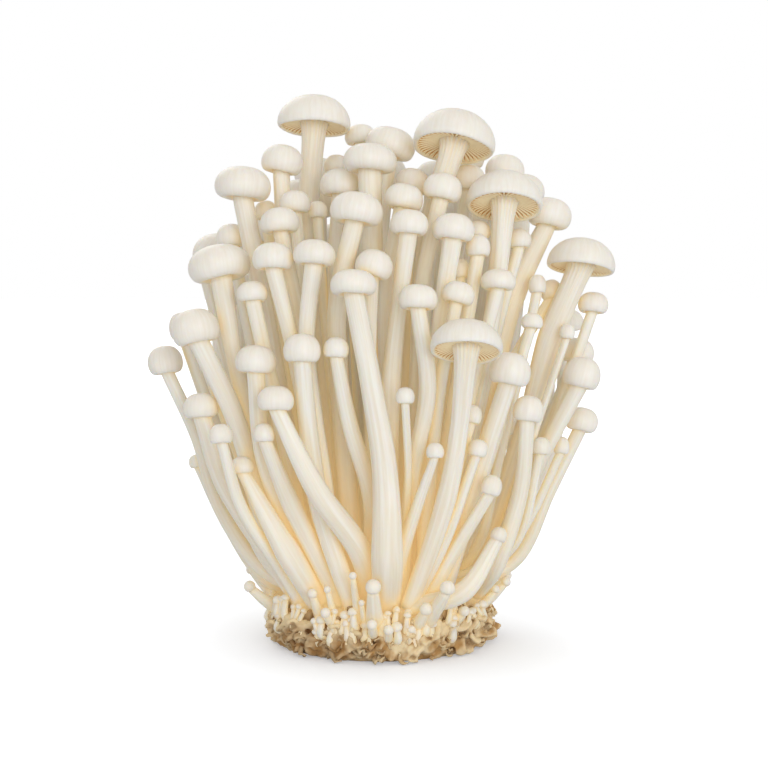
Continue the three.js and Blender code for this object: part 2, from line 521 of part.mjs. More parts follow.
/** Parts the cap of one mushroom from the stem of another. */
function partCapFromStem(capped, stemmed) {
  const centre = capCentre(capped);
  for (let j = 0; j + 1 < stemmed.nodes.length; j += 1) {
    const [b0, b1] = [stemmed.nodes[j], stemmed.nodes[j + 1]];
    const span = new THREE.Vector3().subVectors(b1, b0);
    const share = THREE.MathUtils.clamp(centre.clone().sub(b0).dot(span) / span.lengthSq(), 0, 1);
    const between = centre.clone().sub(b0.clone().lerp(b1, share));
    const distance = between.length();
    const direction = distance > 1e-4 ? between.divideScalar(distance) : new THREE.Vector3(0, 1, 0);
    const needed = capReach(capped, direction)
      + THREE.MathUtils.lerp(stemmed.radii[j], stemmed.radii[j + 1], share) + CAP_GAP;
    if (distance < needed) {
      const last = capped.nodes.length - 1;
      pushApart(capped, [[last, 1]], stemmed, [[j, 1 - share], [j + 1, share]], direction, needed - distance);
    }
  }
}

/** Parts two caps. */
function partCaps(first, second) {
  const between = capCentre(first).sub(capCentre(second));
  const distance = between.length();
  if (distance > first.capRadius + second.capRadius + CAP_GAP + 4) {
    return;
  }
  const direction = distance > 1e-4 ? between.divideScalar(distance) : new THREE.Vector3(0, 1, 0);
  const needed = capReach(first, direction) + capReach(second, direction) + CAP_GAP;
  if (distance < needed) {
    pushApart(first, [[first.nodes.length - 1, 1]], second, [[second.nodes.length - 1, 1]], direction,
      needed - distance);
  }
}

/** Keeps a stem inside the wall of the mat as long as it is lower than the rim. */
function keepInMat(mushroom) {
  const [foot, next] = mushroom.nodes;
  const radius = mushroom.radii[0];
  const clear = MAT.innerRadius - 0.9 - radius;
  const share = (MAT.rim + 1.6 - foot.z) / (next.z - foot.z);
  const there = foot.clone().lerp(next, share);
  const over = Math.hypot(there.x, there.y);
  const out = Math.max(Math.hypot(foot.x, foot.y), over);
  if (out > clear) {
    const length = Math.hypot(foot.x, foot.y);
    const back = Math.min(out - clear, length * 0.5);
    foot.x -= (foot.x / length) * back;
    foot.y -= (foot.y / length) * back;
  }
}

/** Puts the foot of a slim mushroom in the stem that it grows from. */
function rootInHost(mushroom) {
  const { nodes } = mushroom.rootedIn;
  let above = nodes.findIndex((node) => node.z > JOIN_HEIGHT);
  above = Math.max(1, above);
  const share = (JOIN_HEIGHT - nodes[above - 1].z) / (nodes[above].z - nodes[above - 1].z);
  mushroom.nodes[0].copy(nodes[above - 1].clone().lerp(nodes[above], share));
}

/** Eases the sideways bends that the settling leaves in a stem. */
function easeStem(mushroom) {
  const { nodes, laid } = mushroom;
  for (let index = 1; index + 1 < nodes.length; index += 1) {
    for (const axis of ["x", "y"]) {
      const before = nodes[index - 1][axis] - laid[index - 1][axis];
      const after = nodes[index + 1][axis] - laid[index + 1][axis];
      const here = nodes[index][axis] - laid[index][axis];
      nodes[index][axis] += 0.12 * ((before + after) / 2 - here);
    }
  }
}

/** Settles the bunch: every stem and cap is moved sideways until none touches another. */
function settle(mushrooms) {
  for (const mushroom of mushrooms) {
    mushroom.laid = mushroom.nodes.map((node) => node.clone());
  }
  for (let pass = 0; pass < SETTLE_PASSES; pass += 1) {
    const boxes = mushrooms.map((mushroom) => {
      const reach = Math.max(mushroom.capRadius, ...mushroom.radii) + 1;
      return new THREE.Box3().setFromPoints([...mushroom.nodes, capCentre(mushroom)]).expandByScalar(reach);
    });
    for (let i = 0; i < mushrooms.length; i += 1) {
      for (let j = i + 1; j < mushrooms.length; j += 1) {
        if (boxes[i].intersectsBox(boxes[j])) {
          partCaps(mushrooms[i], mushrooms[j]);
          partCapFromStem(mushrooms[i], mushrooms[j]);
          partCapFromStem(mushrooms[j], mushrooms[i]);
          partStems(mushrooms[i], mushrooms[j]);
        }
      }
    }
    for (const mushroom of mushrooms) {
      if (pass < SETTLE_PASSES - SETTLE_FREE_PASSES) {
        easeStem(mushroom);
      }
      if (mushroom.isPin) {
        mushroom.nodes[0].copy(mushroom.laid[0]);
      } else if (mushroom.rootedIn) {
        rootInHost(mushroom);
      } else {
        keepInMat(mushroom);
      }
    }
  }
}

/** A ring of points round a centre, square to a direction; the lift of each point may vary. */
function ringAt(centre, direction, count, radiusOf, liftOf = () => 0) {
  const side = new THREE.Vector3(1, 0, 0).addScaledVector(direction, -direction.x).normalize();
  const other = new THREE.Vector3().crossVectors(direction, side);
  return Array.from({ length: count }, (_, index) => {
    const angle = (2 * Math.PI * index) / count;
    return centre.clone()
      .addScaledVector(side, radiusOf(index) * Math.cos(angle))
      .addScaledVector(other, radiusOf(index) * Math.sin(angle))
      .addScaledVector(direction, liftOf(index));
  });
}

/** Joins rings, from one pole to the other, in a closed mesh; the rings may differ in their counts. */
function skin(firstPole, rings, lastPole) {
  const points = [firstPole, ...rings.flat(), lastPole];
  const triangles = [];
  let start = 1;
  rings.forEach((ring, order) => {
    const count = ring.length;
    const last = order === rings.length - 1;
    if (order === 0) {
      for (let index = 0; index < count; index += 1) {
        triangles.push([0, start + ((index + 1) % count), start + index]);
      }
    }
    if (last) {
      for (let index = 0; index < count; index += 1) {
        triangles.push([start + index, start + ((index + 1) % count), points.length - 1]);
      }
    } else {
      const next = start + count;
      const nextCount = rings[order + 1].length;
      let low = 0;
      let high = 0;
      while (low < count || high < nextCount) {
        const lowAt = start + (low % count);
        const highAt = next + (high % nextCount);
        if (high >= nextCount || (low < count && (low + 1) / count <= (high + 1) / nextCount)) {
          triangles.push([lowAt, start + ((low + 1) % count), highAt]);
          low += 1;
        } else {
          triangles.push([lowAt, next + ((high + 1) % nextCount), highAt]);
          high += 1;
        }
      }
    }
    start += count;
  });
  return new wasm.Manifold(new wasm.Mesh({
    numProp: 3,
    vertProperties: new Float32Array(points.flatMap((point) => point.toArray())),
    triVerts: new Uint32Array(triangles.flat()),
  }));
}

/** Stem and cap of one mushroom as one closed solid. */
function mushroomSolid(mushroom) {
  const { nodes, radii, axis, capRadius, capHeight, open } = mushroom;
  const sides = mushroom.isPin ? 5 : capRadius > 4.6 ? 7 : 6;
  const rings = nodes.map((node, index) => {
    const before = nodes[Math.max(0, index - 1)];
    const after = nodes[Math.min(nodes.length - 1, index + 1)];
    const direction = new THREE.Vector3().subVectors(after, before).normalize();
    if (index === nodes.length - 1) {
      direction.copy(axis);
    }
    if (index === 0 && !mushroom.isPin) {
      direction.set(0, 0, 1);
    }
    return ringAt(node, direction, sides, () => radii[index]);
  });
  const low = nodes[nodes.length - 1].clone().addScaledVector(axis, -capHeight * NECK_SHARE);
  const around = (share, height, count = sides) => ringAt(
    low.clone().addScaledVector(axis, capHeight * height), axis, count, () => capRadius * share,
  );
  if (open) {
    const gill = (share, height) => ringAt(
      low.clone().addScaledVector(axis, capHeight * height), axis, GILL_EDGES,
      () => capRadius * share, (index) => (index % 2 ? GILL_DEPTH : -GILL_DEPTH) / 2,
    );
    rings.push(gill(0.42, 0.15), gill(0.78, 0.06));
    rings.push(around(RIM_SHARE, 0, 16), around(1, 0.3, 16), around(0.82, 0.68, 12), around(0.45, 0.93, 6));
  } else {
    rings.push(around(CLOSED_RIM_SHARE, 0), around(1, 0.32), around(0.82, 0.68));
    if (capRadius > 3) {
      rings.push(around(0.45, 0.92));
    }
  }
  return skin(nodes[0].clone(), rings, low.clone().addScaledVector(axis, capHeight));
}

/** The outer skin of a solid alone: a hollow that fusing sealed is filled, and a loose scrap is dropped. */
function oneBody(solid) {
  const outer = solid.decompose().reduce((best, body) => (body.volume() > best.volume() ? body : best));
  return outer.simplify(WELD);
}

/** The ragged mat with its pins. */
function matSolid(pins) {
  const random = seededRandom(7);
  const ragged = () => (random() - 0.5) * 2 * MAT.raggedness;
  const centre = (height) => new THREE.Vector3(0, 0, height);
  const up = new THREE.Vector3(0, 0, 1);
  const folds = Array.from({ length: MAT.sides }, (_, index) => ragged() + 0.9 * Math.sin(index * 2.4));
  const ring = (radius, height, share, lift) => ringAt(
    centre(height), up, MAT.sides,
    (index) => radius + folds[index] * share,
    (index) => lift * folds[(index + 3) % MAT.sides],
  );
  const rings = [
    ringAt(centre(0), up, MAT.sides, (index) => MAT.footRadius + folds[index] * 0.5),
    ring(MAT.footRadius + 0.6, 1.6, -0.7, 0.3),
    ring(MAT.radius - 1, 3.2, 0.5, 0.3),
    ring(MAT.radius - 0.2, MAT.bulgeHeight, 0.55, -0.3),
    ring(MAT.radius - 0.7, MAT.rim - 1, -0.35, 0.5),
    ringAt(centre(MAT.rim), up, MAT.sides, (index) => MAT.radius - 1.1 + folds[index] * 0.2,
      (index) => folds[(index + 1) % MAT.sides] * 0.55),
    ringAt(centre(MAT.floor), up, MAT.sides, () => MAT.innerRadius),
  ];
  let solid = skin(centre(0), rings, centre(MAT.floor));
  for (const each of pins) {
    solid = solid.add(mushroomSolid(each));
  }
  return oneBody(solid);
}

/** A named mesh from a solid. */
function meshOf(name, solid, colour) {
  const { vertProperties, triVerts } = solid.getMesh();
  const geometry = new THREE.BufferGeometry();
  geometry.setAttribute("position", new THREE.BufferAttribute(new Float32Array(vertProperties), 3));
  geometry.setIndex(new THREE.BufferAttribute(new Uint32Array(triVerts), 1));
  const material = new THREE.MeshStandardMaterial({ color: colour, roughness: 0.55, metalness: 0 });
  const mesh = new THREE.Mesh(geometry, material);
  mesh.name = name;
  return mesh;
}

/** Chooses the mushrooms with a foot of their own, and a stem to grow from for each of the rest. */
function shareFeet(mushrooms) {
  const order = [...mushrooms].sort((a, b) => b.capRadius + b.radii[0] - a.capRadius - a.radii[0]);
  const hosts = order.slice(0, OWN_FEET);
  const guests = new Map();
  for (const mushroom of order.slice(OWN_FEET)) {
    const foot = mushroom.nodes[0];
    const near = (host) => Math.hypot(host.nodes[0].x - foot.x, host.nodes[0].y - foot.y)
      + 0.25 * Math.hypot(host.nodes[1].x - mushroom.nodes[1].x, host.nodes[1].y - mushroom.nodes[1].y);
    const free = hosts.filter((host) => (guests.get(host) ?? 0) < MOST_GUESTS);
    mushroom.rootedIn = free.reduce((best, host) => (near(host) < near(best) ? host : best));
    guests.set(mushroom.rootedIn, (guests.get(mushroom.rootedIn) ?? 0) + 1);
    rootInHost(mushroom);
  }
  return hosts;
}

const measured = Object.entries(SEEN).flatMap(([place, list]) => list.map((measures, index) => {
  const name = `mushroom_${place}_${String(index + 1).padStart(2, "0")}`;
  return seenMushroom(name, TILT[place], measures);
}));
const mushrooms = [...measured, ...farMushrooms()];
const pins = allPins();
const hosts = shareFeet(mushrooms);
settle([...mushrooms, ...pins]);

const bunch = new THREE.Group();
bunch.add(meshOf("mycelium_mat", matSolid(pins), COLOURS.mat));
for (const host of hosts) {
  let solid = mushroomSolid(host);
  for (const slim of mushrooms.filter((mushroom) => mushroom.rootedIn === host)) {
    solid = solid.add(mushroomSolid(slim));
  }
  bunch.add(meshOf(host.name, oneBody(solid), COLOURS.mushroom));
}

// The origin is at the middle of the ground that the bunch covers
const covered = new THREE.Box3().setFromObject(bunch).getCenter(new THREE.Vector3());
bunch.position.set(-covered.x, -covered.y, 0);

export default bunch;
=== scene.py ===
"""An upright bunch of enoki mushrooms on its mat of mycelium, dressed round its solids.

Every stem and cap takes its place and size from its own solid. The stem, cap, gill and pin
patterns are modelled once, then copied and bent along each solid. Lengths are in metres.
"""

from __future__ import annotations

import json
import logging
import math
from dataclasses import dataclass, field
from enum import Enum

import bpy
import numpy as np
from mathutils import Euler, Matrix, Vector
from mathutils.bvhtree import BVHTree

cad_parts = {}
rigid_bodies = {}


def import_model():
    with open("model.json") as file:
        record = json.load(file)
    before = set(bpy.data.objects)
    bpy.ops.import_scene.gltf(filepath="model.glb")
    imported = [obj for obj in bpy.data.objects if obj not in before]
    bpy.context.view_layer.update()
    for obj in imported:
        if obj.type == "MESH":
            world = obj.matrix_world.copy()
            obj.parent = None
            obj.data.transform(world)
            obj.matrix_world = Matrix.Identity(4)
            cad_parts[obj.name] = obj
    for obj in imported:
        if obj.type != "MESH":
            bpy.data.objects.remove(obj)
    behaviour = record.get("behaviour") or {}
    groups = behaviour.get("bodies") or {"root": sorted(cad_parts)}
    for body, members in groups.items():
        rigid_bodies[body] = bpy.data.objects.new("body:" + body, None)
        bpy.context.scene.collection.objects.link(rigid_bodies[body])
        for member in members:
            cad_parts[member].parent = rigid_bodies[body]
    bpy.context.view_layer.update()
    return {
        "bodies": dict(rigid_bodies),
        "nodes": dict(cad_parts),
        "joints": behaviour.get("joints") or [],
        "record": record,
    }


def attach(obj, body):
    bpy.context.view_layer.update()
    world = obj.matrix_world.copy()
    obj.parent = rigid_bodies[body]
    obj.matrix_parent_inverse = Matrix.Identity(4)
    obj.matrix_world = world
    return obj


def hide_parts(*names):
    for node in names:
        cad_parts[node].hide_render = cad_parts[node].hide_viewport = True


MM = 0.001
MAT_NODE = "mycelium_mat"
FOOT_LEVEL = 6.7 * MM
JOIN_LEVEL = 13.0 * MM

# A corner this close to a plane lies in it, and a height this close to a level has reached it
PLANE_SLACK = 0.02 * MM
LEVEL_SLACK = 0.1 * MM

Triple = tuple[float, float, float]
Pair = tuple[float, float]
Piece = bpy.types.Object
Mesh = bpy.types.Mesh
Material = bpy.types.Material
Socket = bpy.types.NodeSocket

log = logging.getLogger("enoki")


class CapForm(Enum):
    """How far a cap has opened."""

    BUTTON = "button"
    OPEN = "open"
    PIN = "pin"


# Cap profiles from the hollow underneath, round the rim, to the top: share of radius, share of height
PROFILES = {
    CapForm.BUTTON: [
        (0.14, 0.20), (0.30, 0.15), (0.44, 0.08), (0.56, 0.025), (0.67, 0.0), (0.77, 0.015),
        (0.86, 0.06), (0.93, 0.135), (0.975, 0.225), (1.0, 0.335), (0.995, 0.45), (0.965, 0.56),
        (0.905, 0.67), (0.82, 0.765), (0.71, 0.85), (0.57, 0.92), (0.41, 0.965), (0.24, 0.99),
        (0.1, 0.999), (0.025, 1.0),
    ],
    CapForm.OPEN: [
        (0.14, 0.46), (0.3, 0.42), (0.48, 0.345), (0.64, 0.245), (0.77, 0.14), (0.855, 0.06),
        (0.9, 0.015), (0.94, 0.0), (0.975, 0.025), (0.995, 0.08), (1.0, 0.16), (0.99, 0.27),
        (0.96, 0.39), (0.91, 0.51), (0.835, 0.63), (0.735, 0.745), (0.605, 0.85), (0.45, 0.925),
        (0.29, 0.973), (0.13, 0.996), (0.03, 1.0),
    ],
    CapForm.PIN: [
        (0.3, 0.05), (0.62, 0.04), (0.86, 0.12), (0.98, 0.27), (1.0, 0.42), (0.95, 0.58),
        (0.84, 0.72), (0.67, 0.85), (0.46, 0.94), (0.22, 0.99), (0.05, 1.0),
    ],
}


@dataclass
class Growth:
    """One mushroom or pin, as its solid gives it.

    Attributes:
        node: The solid that it belongs to.
        path: Centres along the stem, from the foot to the neck.
        radii: The stem's radius at each centre.
        axis: The direction that the cap points in.
        low: The middle of the cap's rim plane.
        cap_radius: Half the width of the cap.
        cap_height: The height of the cap over its rim plane.
        form: How far the cap has opened.
        seed: Picks its own small irregularities.
    """

    node: str
    path: np.ndarray
    radii: np.ndarray
    axis: np.ndarray
    low: np.ndarray
    cap_radius: float
    cap_height: float
    form: CapForm
    seed: int = 0


@dataclass
class SolidReader:
    """Finds the stems and caps in a faceted solid, ring by ring from the top of each cap."""

    equator_share: float = 0.32
    open_equator_share: float = 0.3
    neck_share: float = 0.14
    plain_neck: float = 0.38
    small_sides: int = 5
    most_sides: int = 7
    open_sides: int = 12
    most_rings: int = 18
    top_unevenness: float = 0.01
    stem_unevenness: float = 0.08
    least_height: float = 9 * MM
    least_radius: float = 0.2 * MM
    weld: float = 0.002 * MM
    guest_taper: float = 0.85
    pin_reach: float = 22.5 * MM
    pin_root: Pair = (4 * MM, 7 * MM)
    pin_drop: float = 5 * MM
    pin_bow: float = 0.9 * MM
    pin_widths: Triple = (2.3, 1.55, 1.05)
    points: np.ndarray = field(default_factory=lambda: np.zeros((0, 3)))
    links: list[set[int]] = field(default_factory=list)

    def load(self, solid: Piece) -> None:
        """Merges a solid's loose triangles and notes which corners are joined.

        Args:
            solid: The solid's object.
        """
        raw = places_of(solid.data)
        _, first, same = np.unique(
            np.round(raw / self.weld).astype(np.int64), axis=0, return_index=True, return_inverse=True
        )
        self.points = raw[first]
        self.links = [set() for _ in range(len(self.points))]
        for a, b, c in same.reshape(-1)[triangles_of(solid.data)].tolist():
            if len({a, b, c}) == 3:
                self.links[a].update((b, c))
                self.links[b].update((a, c))
                self.links[c].update((a, b))

    def ring(self, members: list[int]) -> tuple[np.ndarray, float, float]:
        """Measures a ring of corners.

        Args:
            members: The corners of the ring.

        Returns:
            Its centre, its radius and how unevenly its corners lie, as a share of the radius.
        """
        places = self.points[members]
        centre = places.mean(axis=0)
        reach = np.linalg.norm(places - centre, axis=1)
        return centre, float(reach.mean()), float(reach.std() / max(reach.mean(), 1e-9))

    def is_top(self, corner: int) -> bool:
        """Tells whether a corner is the top of a cap: a point over the middle of an even, flat ring."""
        around = sorted(self.links[corner])
        if not self.small_sides <= len(around) <= self.most_sides:
            return False
        if self.points[corner][2] < self.least_height:
            return False
        centre, radius, uneven = self.ring(around)
        if uneven > self.top_unevenness:
            return False
        spokes = self.points[around] - centre
        normal = np.linalg.svd(spokes)[2][2]
        rise = self.points[corner] - centre
        height = abs(float(rise @ normal))
        flat = float(np.abs(spokes @ normal).max()) < PLANE_SLACK
        centred = float(np.linalg.norm(rise)) < height * 1.01 + 1e-7
        return flat and centred and 0.05 * radius < height < 1.2 * radius

    def rings_below(self, top: int) -> list[list[int]]:
        """Lists the rings of corners below the top of a cap, nearest first."""
        seen = {top}
        level = [top]
        rings = []
        while level and len(rings) < self.most_rings:
            level = sorted({other for corner in level for other in self.links[corner]} - seen)
            if level:
                rings.append(level)
                seen.update(level)
        return rings

    def growth(self, node: str, top: int) -> Growth | None:
        """Reads one mushroom downwards from the top of its cap.

        Args:
            node: The name of the solid.
            top: The corner at the top of the cap.

        Returns:
            The mushroom, or nothing where the rings don't make one.
        """
        rings = self.rings_below(top)
        if len(rings) < 4:
            return None
        measured = [self.ring(ring) for ring in rings]
        is_open = len(rings[1]) == self.open_sides
        widest = 2 if is_open else int(np.argmax([radius for _, radius, _ in measured[:3]]))
        # The rings of the underside, with its gills, lie between the widest ring and the neck
        neck = widest + (4 if is_open else 2)
        if neck >= len(rings):
            return None
        centre, cap_radius, _ = measured[widest]
        rise = self.points[top] - centre
        share = self.open_equator_share if is_open else self.equator_share
        cap_height = float(np.linalg.norm(rise)) / (1 - share)
        axis = rise / np.linalg.norm(rise)
        sides = len(rings[neck])
        path = []
        radii = []
        for ring, (middle, radius, uneven) in zip(rings[neck:], measured[neck:]):
            if len(ring) != sides or uneven > self.stem_unevenness or radius < self.least_radius:
                break
            path.append(middle)
            radii.append(radius)
        if not path:
            path = [self.points[top] - axis * cap_height * (1 - self.neck_share)]
            radii = [cap_radius * self.plain_neck]
        form = CapForm.OPEN if is_open else CapForm.PIN if node == MAT_NODE else CapForm.BUTTON
        return Growth(
            node, np.array(path[::-1]), np.array(radii[::-1]), axis,
            self.points[top] - axis * cap_height, cap_radius, cap_height, form,
        )

    def read(self, node: str, solid: Piece) -> list[Growth]:
        """Reads every mushroom in a solid, each with a path down to its foot.

        Args:
            node: The name of the solid.
            solid: The solid's object.

        Returns:
            The mushrooms, those that reach the mat first.
        """
        self.load(solid)
        tops = [corner for corner in range(len(self.points)) if self.is_top(corner)]
        found = [growth for growth in (self.growth(node, top) for top in tops) if growth]
        if node == MAT_NODE:
            return [self.rooted_pin(growth) for growth in found]
        foot = self.points[np.abs(self.points[:, 2] - FOOT_LEVEL) < PLANE_SLACK]
        centre = foot.mean(axis=0)
        found.sort(key=lambda growth: self.miss(growth, centre))
        host = found[0]
        if host.path[0][2] > FOOT_LEVEL + LEVEL_SLACK:
            spread = float(np.linalg.norm(foot - centre, axis=1).max())
            host.path = np.vstack([centre, host.path])
            host.radii = np.append(spread, host.radii)
        for guest in found[1:]:
            heights = host.path[:, 2]
            joint = np.array([np.interp(JOIN_LEVEL, heights, host.path[:, k]) for k in range(3)])
            if guest.path[0][2] > JOIN_LEVEL + 0.5 * MM:
                guest.path = np.vstack([joint, guest.path])
                guest.radii = np.append(guest.radii[0] * self.guest_taper, guest.radii)
        return found

    @staticmethod
    def miss(growth: Growth, foot: np.ndarray) -> float:
        """Tells how far a stem, run on in its own direction, passes from a foot on the mat."""
        path = growth.path
        if path[0][2] < FOOT_LEVEL + LEVEL_SLACK:
            return 0.0
        slope = (path[1] - path[0]) if len(path) > 1 else growth.axis
        steps = (FOOT_LEVEL - path[0][2]) / max(slope[2], 1e-6)
        return 1e-5 + float(np.linalg.norm((path[0] + slope * steps - foot)[:2]))

    def rooted_pin(self, pin: Growth) -> Growth:
        """Runs a pin's stem on, broader and bent inwards, into the mat."""
        neck = pin.path[-1]
        out = np.array([neck[0], neck[1], 0.0])
        out = out / np.linalg.norm(out)
        least, most = self.pin_root
        root = out * self.pin_reach + np.array([0.0, 0.0, max(least, min(most, neck[2] - self.pin_drop))])
        middle = root * 0.5 + neck * 0.5 + out * self.pin_bow
        pin.path = np.array([root, middle, neck])
        pin.radii = np.array(self.pin_widths) * pin.radii[-1]
        return pin


@dataclass(frozen=True)
class Ripple:
    """Gentle, repeatable waves round a stem or a cap."""

    seed: int
    depth: float
    turns: tuple[int, ...] = (2, 3, 5)

    def at(self, angle: np.ndarray, along: np.ndarray) -> np.ndarray:
        """Gives the wave at each place.

        Args:
            angle: The angles round the axis.
            along: The distance along the axis, as a share of a wave's length.

        Returns:
            The waves, up to about the depth.
        """
        random = np.random.default_rng(self.seed)
        total = np.zeros_like(angle)
        for turn in self.turns:
            phase, drift = random.uniform(0, 2 * math.pi, 2)
            twist = random.uniform(-0.6, 0.6)
            wave = np.cos(turn * angle + phase + twist * along) * np.cos(along * 0.9 + drift)
            total += wave / turn
        return self.depth * total


class PathCurve:
    """A smooth line through the centres of a stem, with a steady frame along it."""

    def __init__(self, points: np.ndarray, radii: np.ndarray, last_way: np.ndarray, rows: int) -> None:
        """Lays the line.

        Args:
            points: The centres, from the foot up.
            radii: The radius at each centre.
            last_way: The direction in which the line ends.
            rows: How many rows to lay along it.
        """
        steps = np.linalg.norm(np.diff(points, axis=0), axis=1)
        knots = np.concatenate([[0.0], np.cumsum(steps)])
        ways = np.zeros_like(points)
        ways[1:-1] = (points[2:] - points[:-2]) / (knots[2:] - knots[:-2])[:, None]
        ways[0] = (points[1] - points[0]) / steps[0]
        ways[-1] = 0.35 * (points[-1] - points[-2]) / steps[-1] + 0.65 * last_way
        self.length = float(knots[-1])
        self.along = np.linspace(0, self.length, rows)
        segment = np.clip(np.searchsorted(knots, self.along, side="right") - 1, 0, len(steps) - 1)
        span = steps[segment][:, None]
        t = (self.along - knots[segment])[:, None] / span
        self.centres = (
            (2 * t**3 - 3 * t**2 + 1) * points[segment]
            + (t**3 - 2 * t**2 + t) * span * ways[segment]
            + (-2 * t**3 + 3 * t**2) * points[segment + 1]
            + (t**3 - t**2) * span * ways[segment + 1]
        )
        self.radii = np.interp(self.along, knots, radii)
        forward = np.gradient(self.centres, axis=0)
        self.forward = forward / np.linalg.norm(forward, axis=1)[:, None]
        self.side = np.zeros_like(self.forward)
        side = np.array([1.0, 0.0, 0.0])
        for row, way in enumerate(self.forward):
            side = side - way * (side @ way)
            side = side / np.linalg.norm(side)
            self.side[row] = side
        self.other = np.cross(self.forward, self.side)


def deselect_all() -> None:
    """Leaves nothing selected."""
    bpy.ops.object.select_all(action="DESELECT")


def edit_all() -> None:
    """Opens the mesh of the active object with everything selected."""
    bpy.ops.object.mode_set(mode="EDIT")
    bpy.ops.mesh.select_all(action="SELECT")


def linked(name: str, data: bpy.types.ID) -> Piece:
    """Puts a new object with the given data in the scene."""
    piece = bpy.data.objects.new(name, data)
    bpy.context.scene.collection.objects.link(piece)
    return piece


def joined(name: str, parts: list[Piece]) -> Piece:
    """Joins parts in the first of them, which takes the given name."""
    deselect_all()
    for part in parts:
        part.select_set(True)
    bpy.context.view_layer.objects.active = parts[0]
    bpy.ops.object.join()
    piece = bpy.context.object
    piece.name = name
    return piece


def places_of(mesh: Mesh) -> np.ndarray:
    """Reads the corners of a mesh as rows of x, y and z."""
    flat = np.zeros(len(mesh.vertices) * 3)
    mesh.vertices.foreach_get("co", flat)
    return flat.reshape(-1, 3)


def normals_of(mesh: Mesh) -> np.ndarray:
    """Reads the way that each corner of a mesh faces as rows of x, y and z."""
    flat = np.zeros(len(mesh.vertices) * 3)
    mesh.vertices.foreach_get("normal", flat)
    return flat.reshape(-1, 3)


def triangles_of(mesh: Mesh) -> np.ndarray:
    """Reads the triangles of a mesh as rows of three corners."""
    mesh.calc_loop_triangles()
    flat = np.zeros(len(mesh.loop_triangles) * 3, dtype=np.int32)
    mesh.loop_triangles.foreach_get("vertices", flat)
    return flat.reshape(-1, 3)


def number_of(mesh: Mesh, name: str) -> np.ndarray:
    """Reads the number kept for each corner of a mesh under a name."""
    values = np.zeros(len(mesh.vertices))
    mesh.attributes[name].data.foreach_get("value", values)
    return values


def polar(places: np.ndarray) -> tuple[np.ndarray, np.ndarray]:
    """Gives the angle of each place round the upright axis and its distance from it."""
    return np.arctan2(places[:, 1], places[:, 0]), np.hypot(places[:, 0], places[:, 1])


def set_places(mesh: Mesh, places: np.ndarray) -> None:
    """Moves the corners of a mesh to the places given as rows of x, y and z."""
    mesh.vertices.foreach_set("co", np.ascontiguousarray(places, dtype=np.float32).reshape(-1))
    mesh.update()


def set_number(mesh: Mesh, name: str, values: np.ndarray) -> None:
    """Keeps one number for each corner of a mesh under a name."""
    layer = mesh.attributes.get(name) or mesh.attributes.new(name, "FLOAT", "POINT")
    layer.data.foreach_set("value", np.ascontiguousarray(values, dtype=np.float32))


def set_vector(mesh: Mesh, name: str, values: np.ndarray) -> None:
    """Keeps one vector for each corner of a mesh under a name."""
    layer = mesh.attributes.get(name) or mesh.attributes.new(name, "FLOAT_VECTOR", "POINT")
    layer.data.foreach_set("vector", np.ascontiguousarray(values, dtype=np.float32).reshape(-1))


def smoothstep(low: float, high: float, values: np.ndarray) -> np.ndarray:
    """Eases from 0 at the first value to 1 at the second one, which may be the lower."""
    t = np.clip((values - low) / (high - low), 0, 1)
    return t * t * (3 - 2 * t)


def softened(mesh: Mesh, values: np.ndarray, rounds: int) -> np.ndarray:
    """Evens out values along the edges of a mesh.

    Args:
        mesh: The mesh.
        values: One row for each corner.
        rounds: How many times each corner takes the mean of its neighbours.

    Returns:
        The evened rows.
    """
    ends = np.zeros(len(mesh.edges) * 2, dtype=np.int64)
    mesh.edges.foreach_get("vertices", ends)
    a, b = ends.reshape(-1, 2).T
    count = len(values)
    degree = np.bincount(np.concatenate([a, b]), minlength=count)[:, None].clip(1)
    soft = values.reshape(count, -1).copy()
    for _ in range(rounds):
        total = np.stack([
            np.bincount(a, soft[b, k], count) + np.bincount(b, soft[a, k], count)
            for k in range(soft.shape[1])
        ], axis=1)
        soft = total / degree
    return soft.reshape(values.shape)


@dataclass
class Pattern:
    """A shape modelled once, kept out of sight, from which copies are taken."""

    piece: Piece
    places: np.ndarray

    def copy(self, name: str, material: Material) -> Piece:
        """Makes a copy with its own mesh.

        Args:
            name: The copy's name.
            material: The copy's finish.

        Returns:
            The copy, in the scene.
        """
        piece = linked(name, self.piece.data.copy())
        piece.data.materials.clear()
        piece.data.materials.append(material)
        return piece


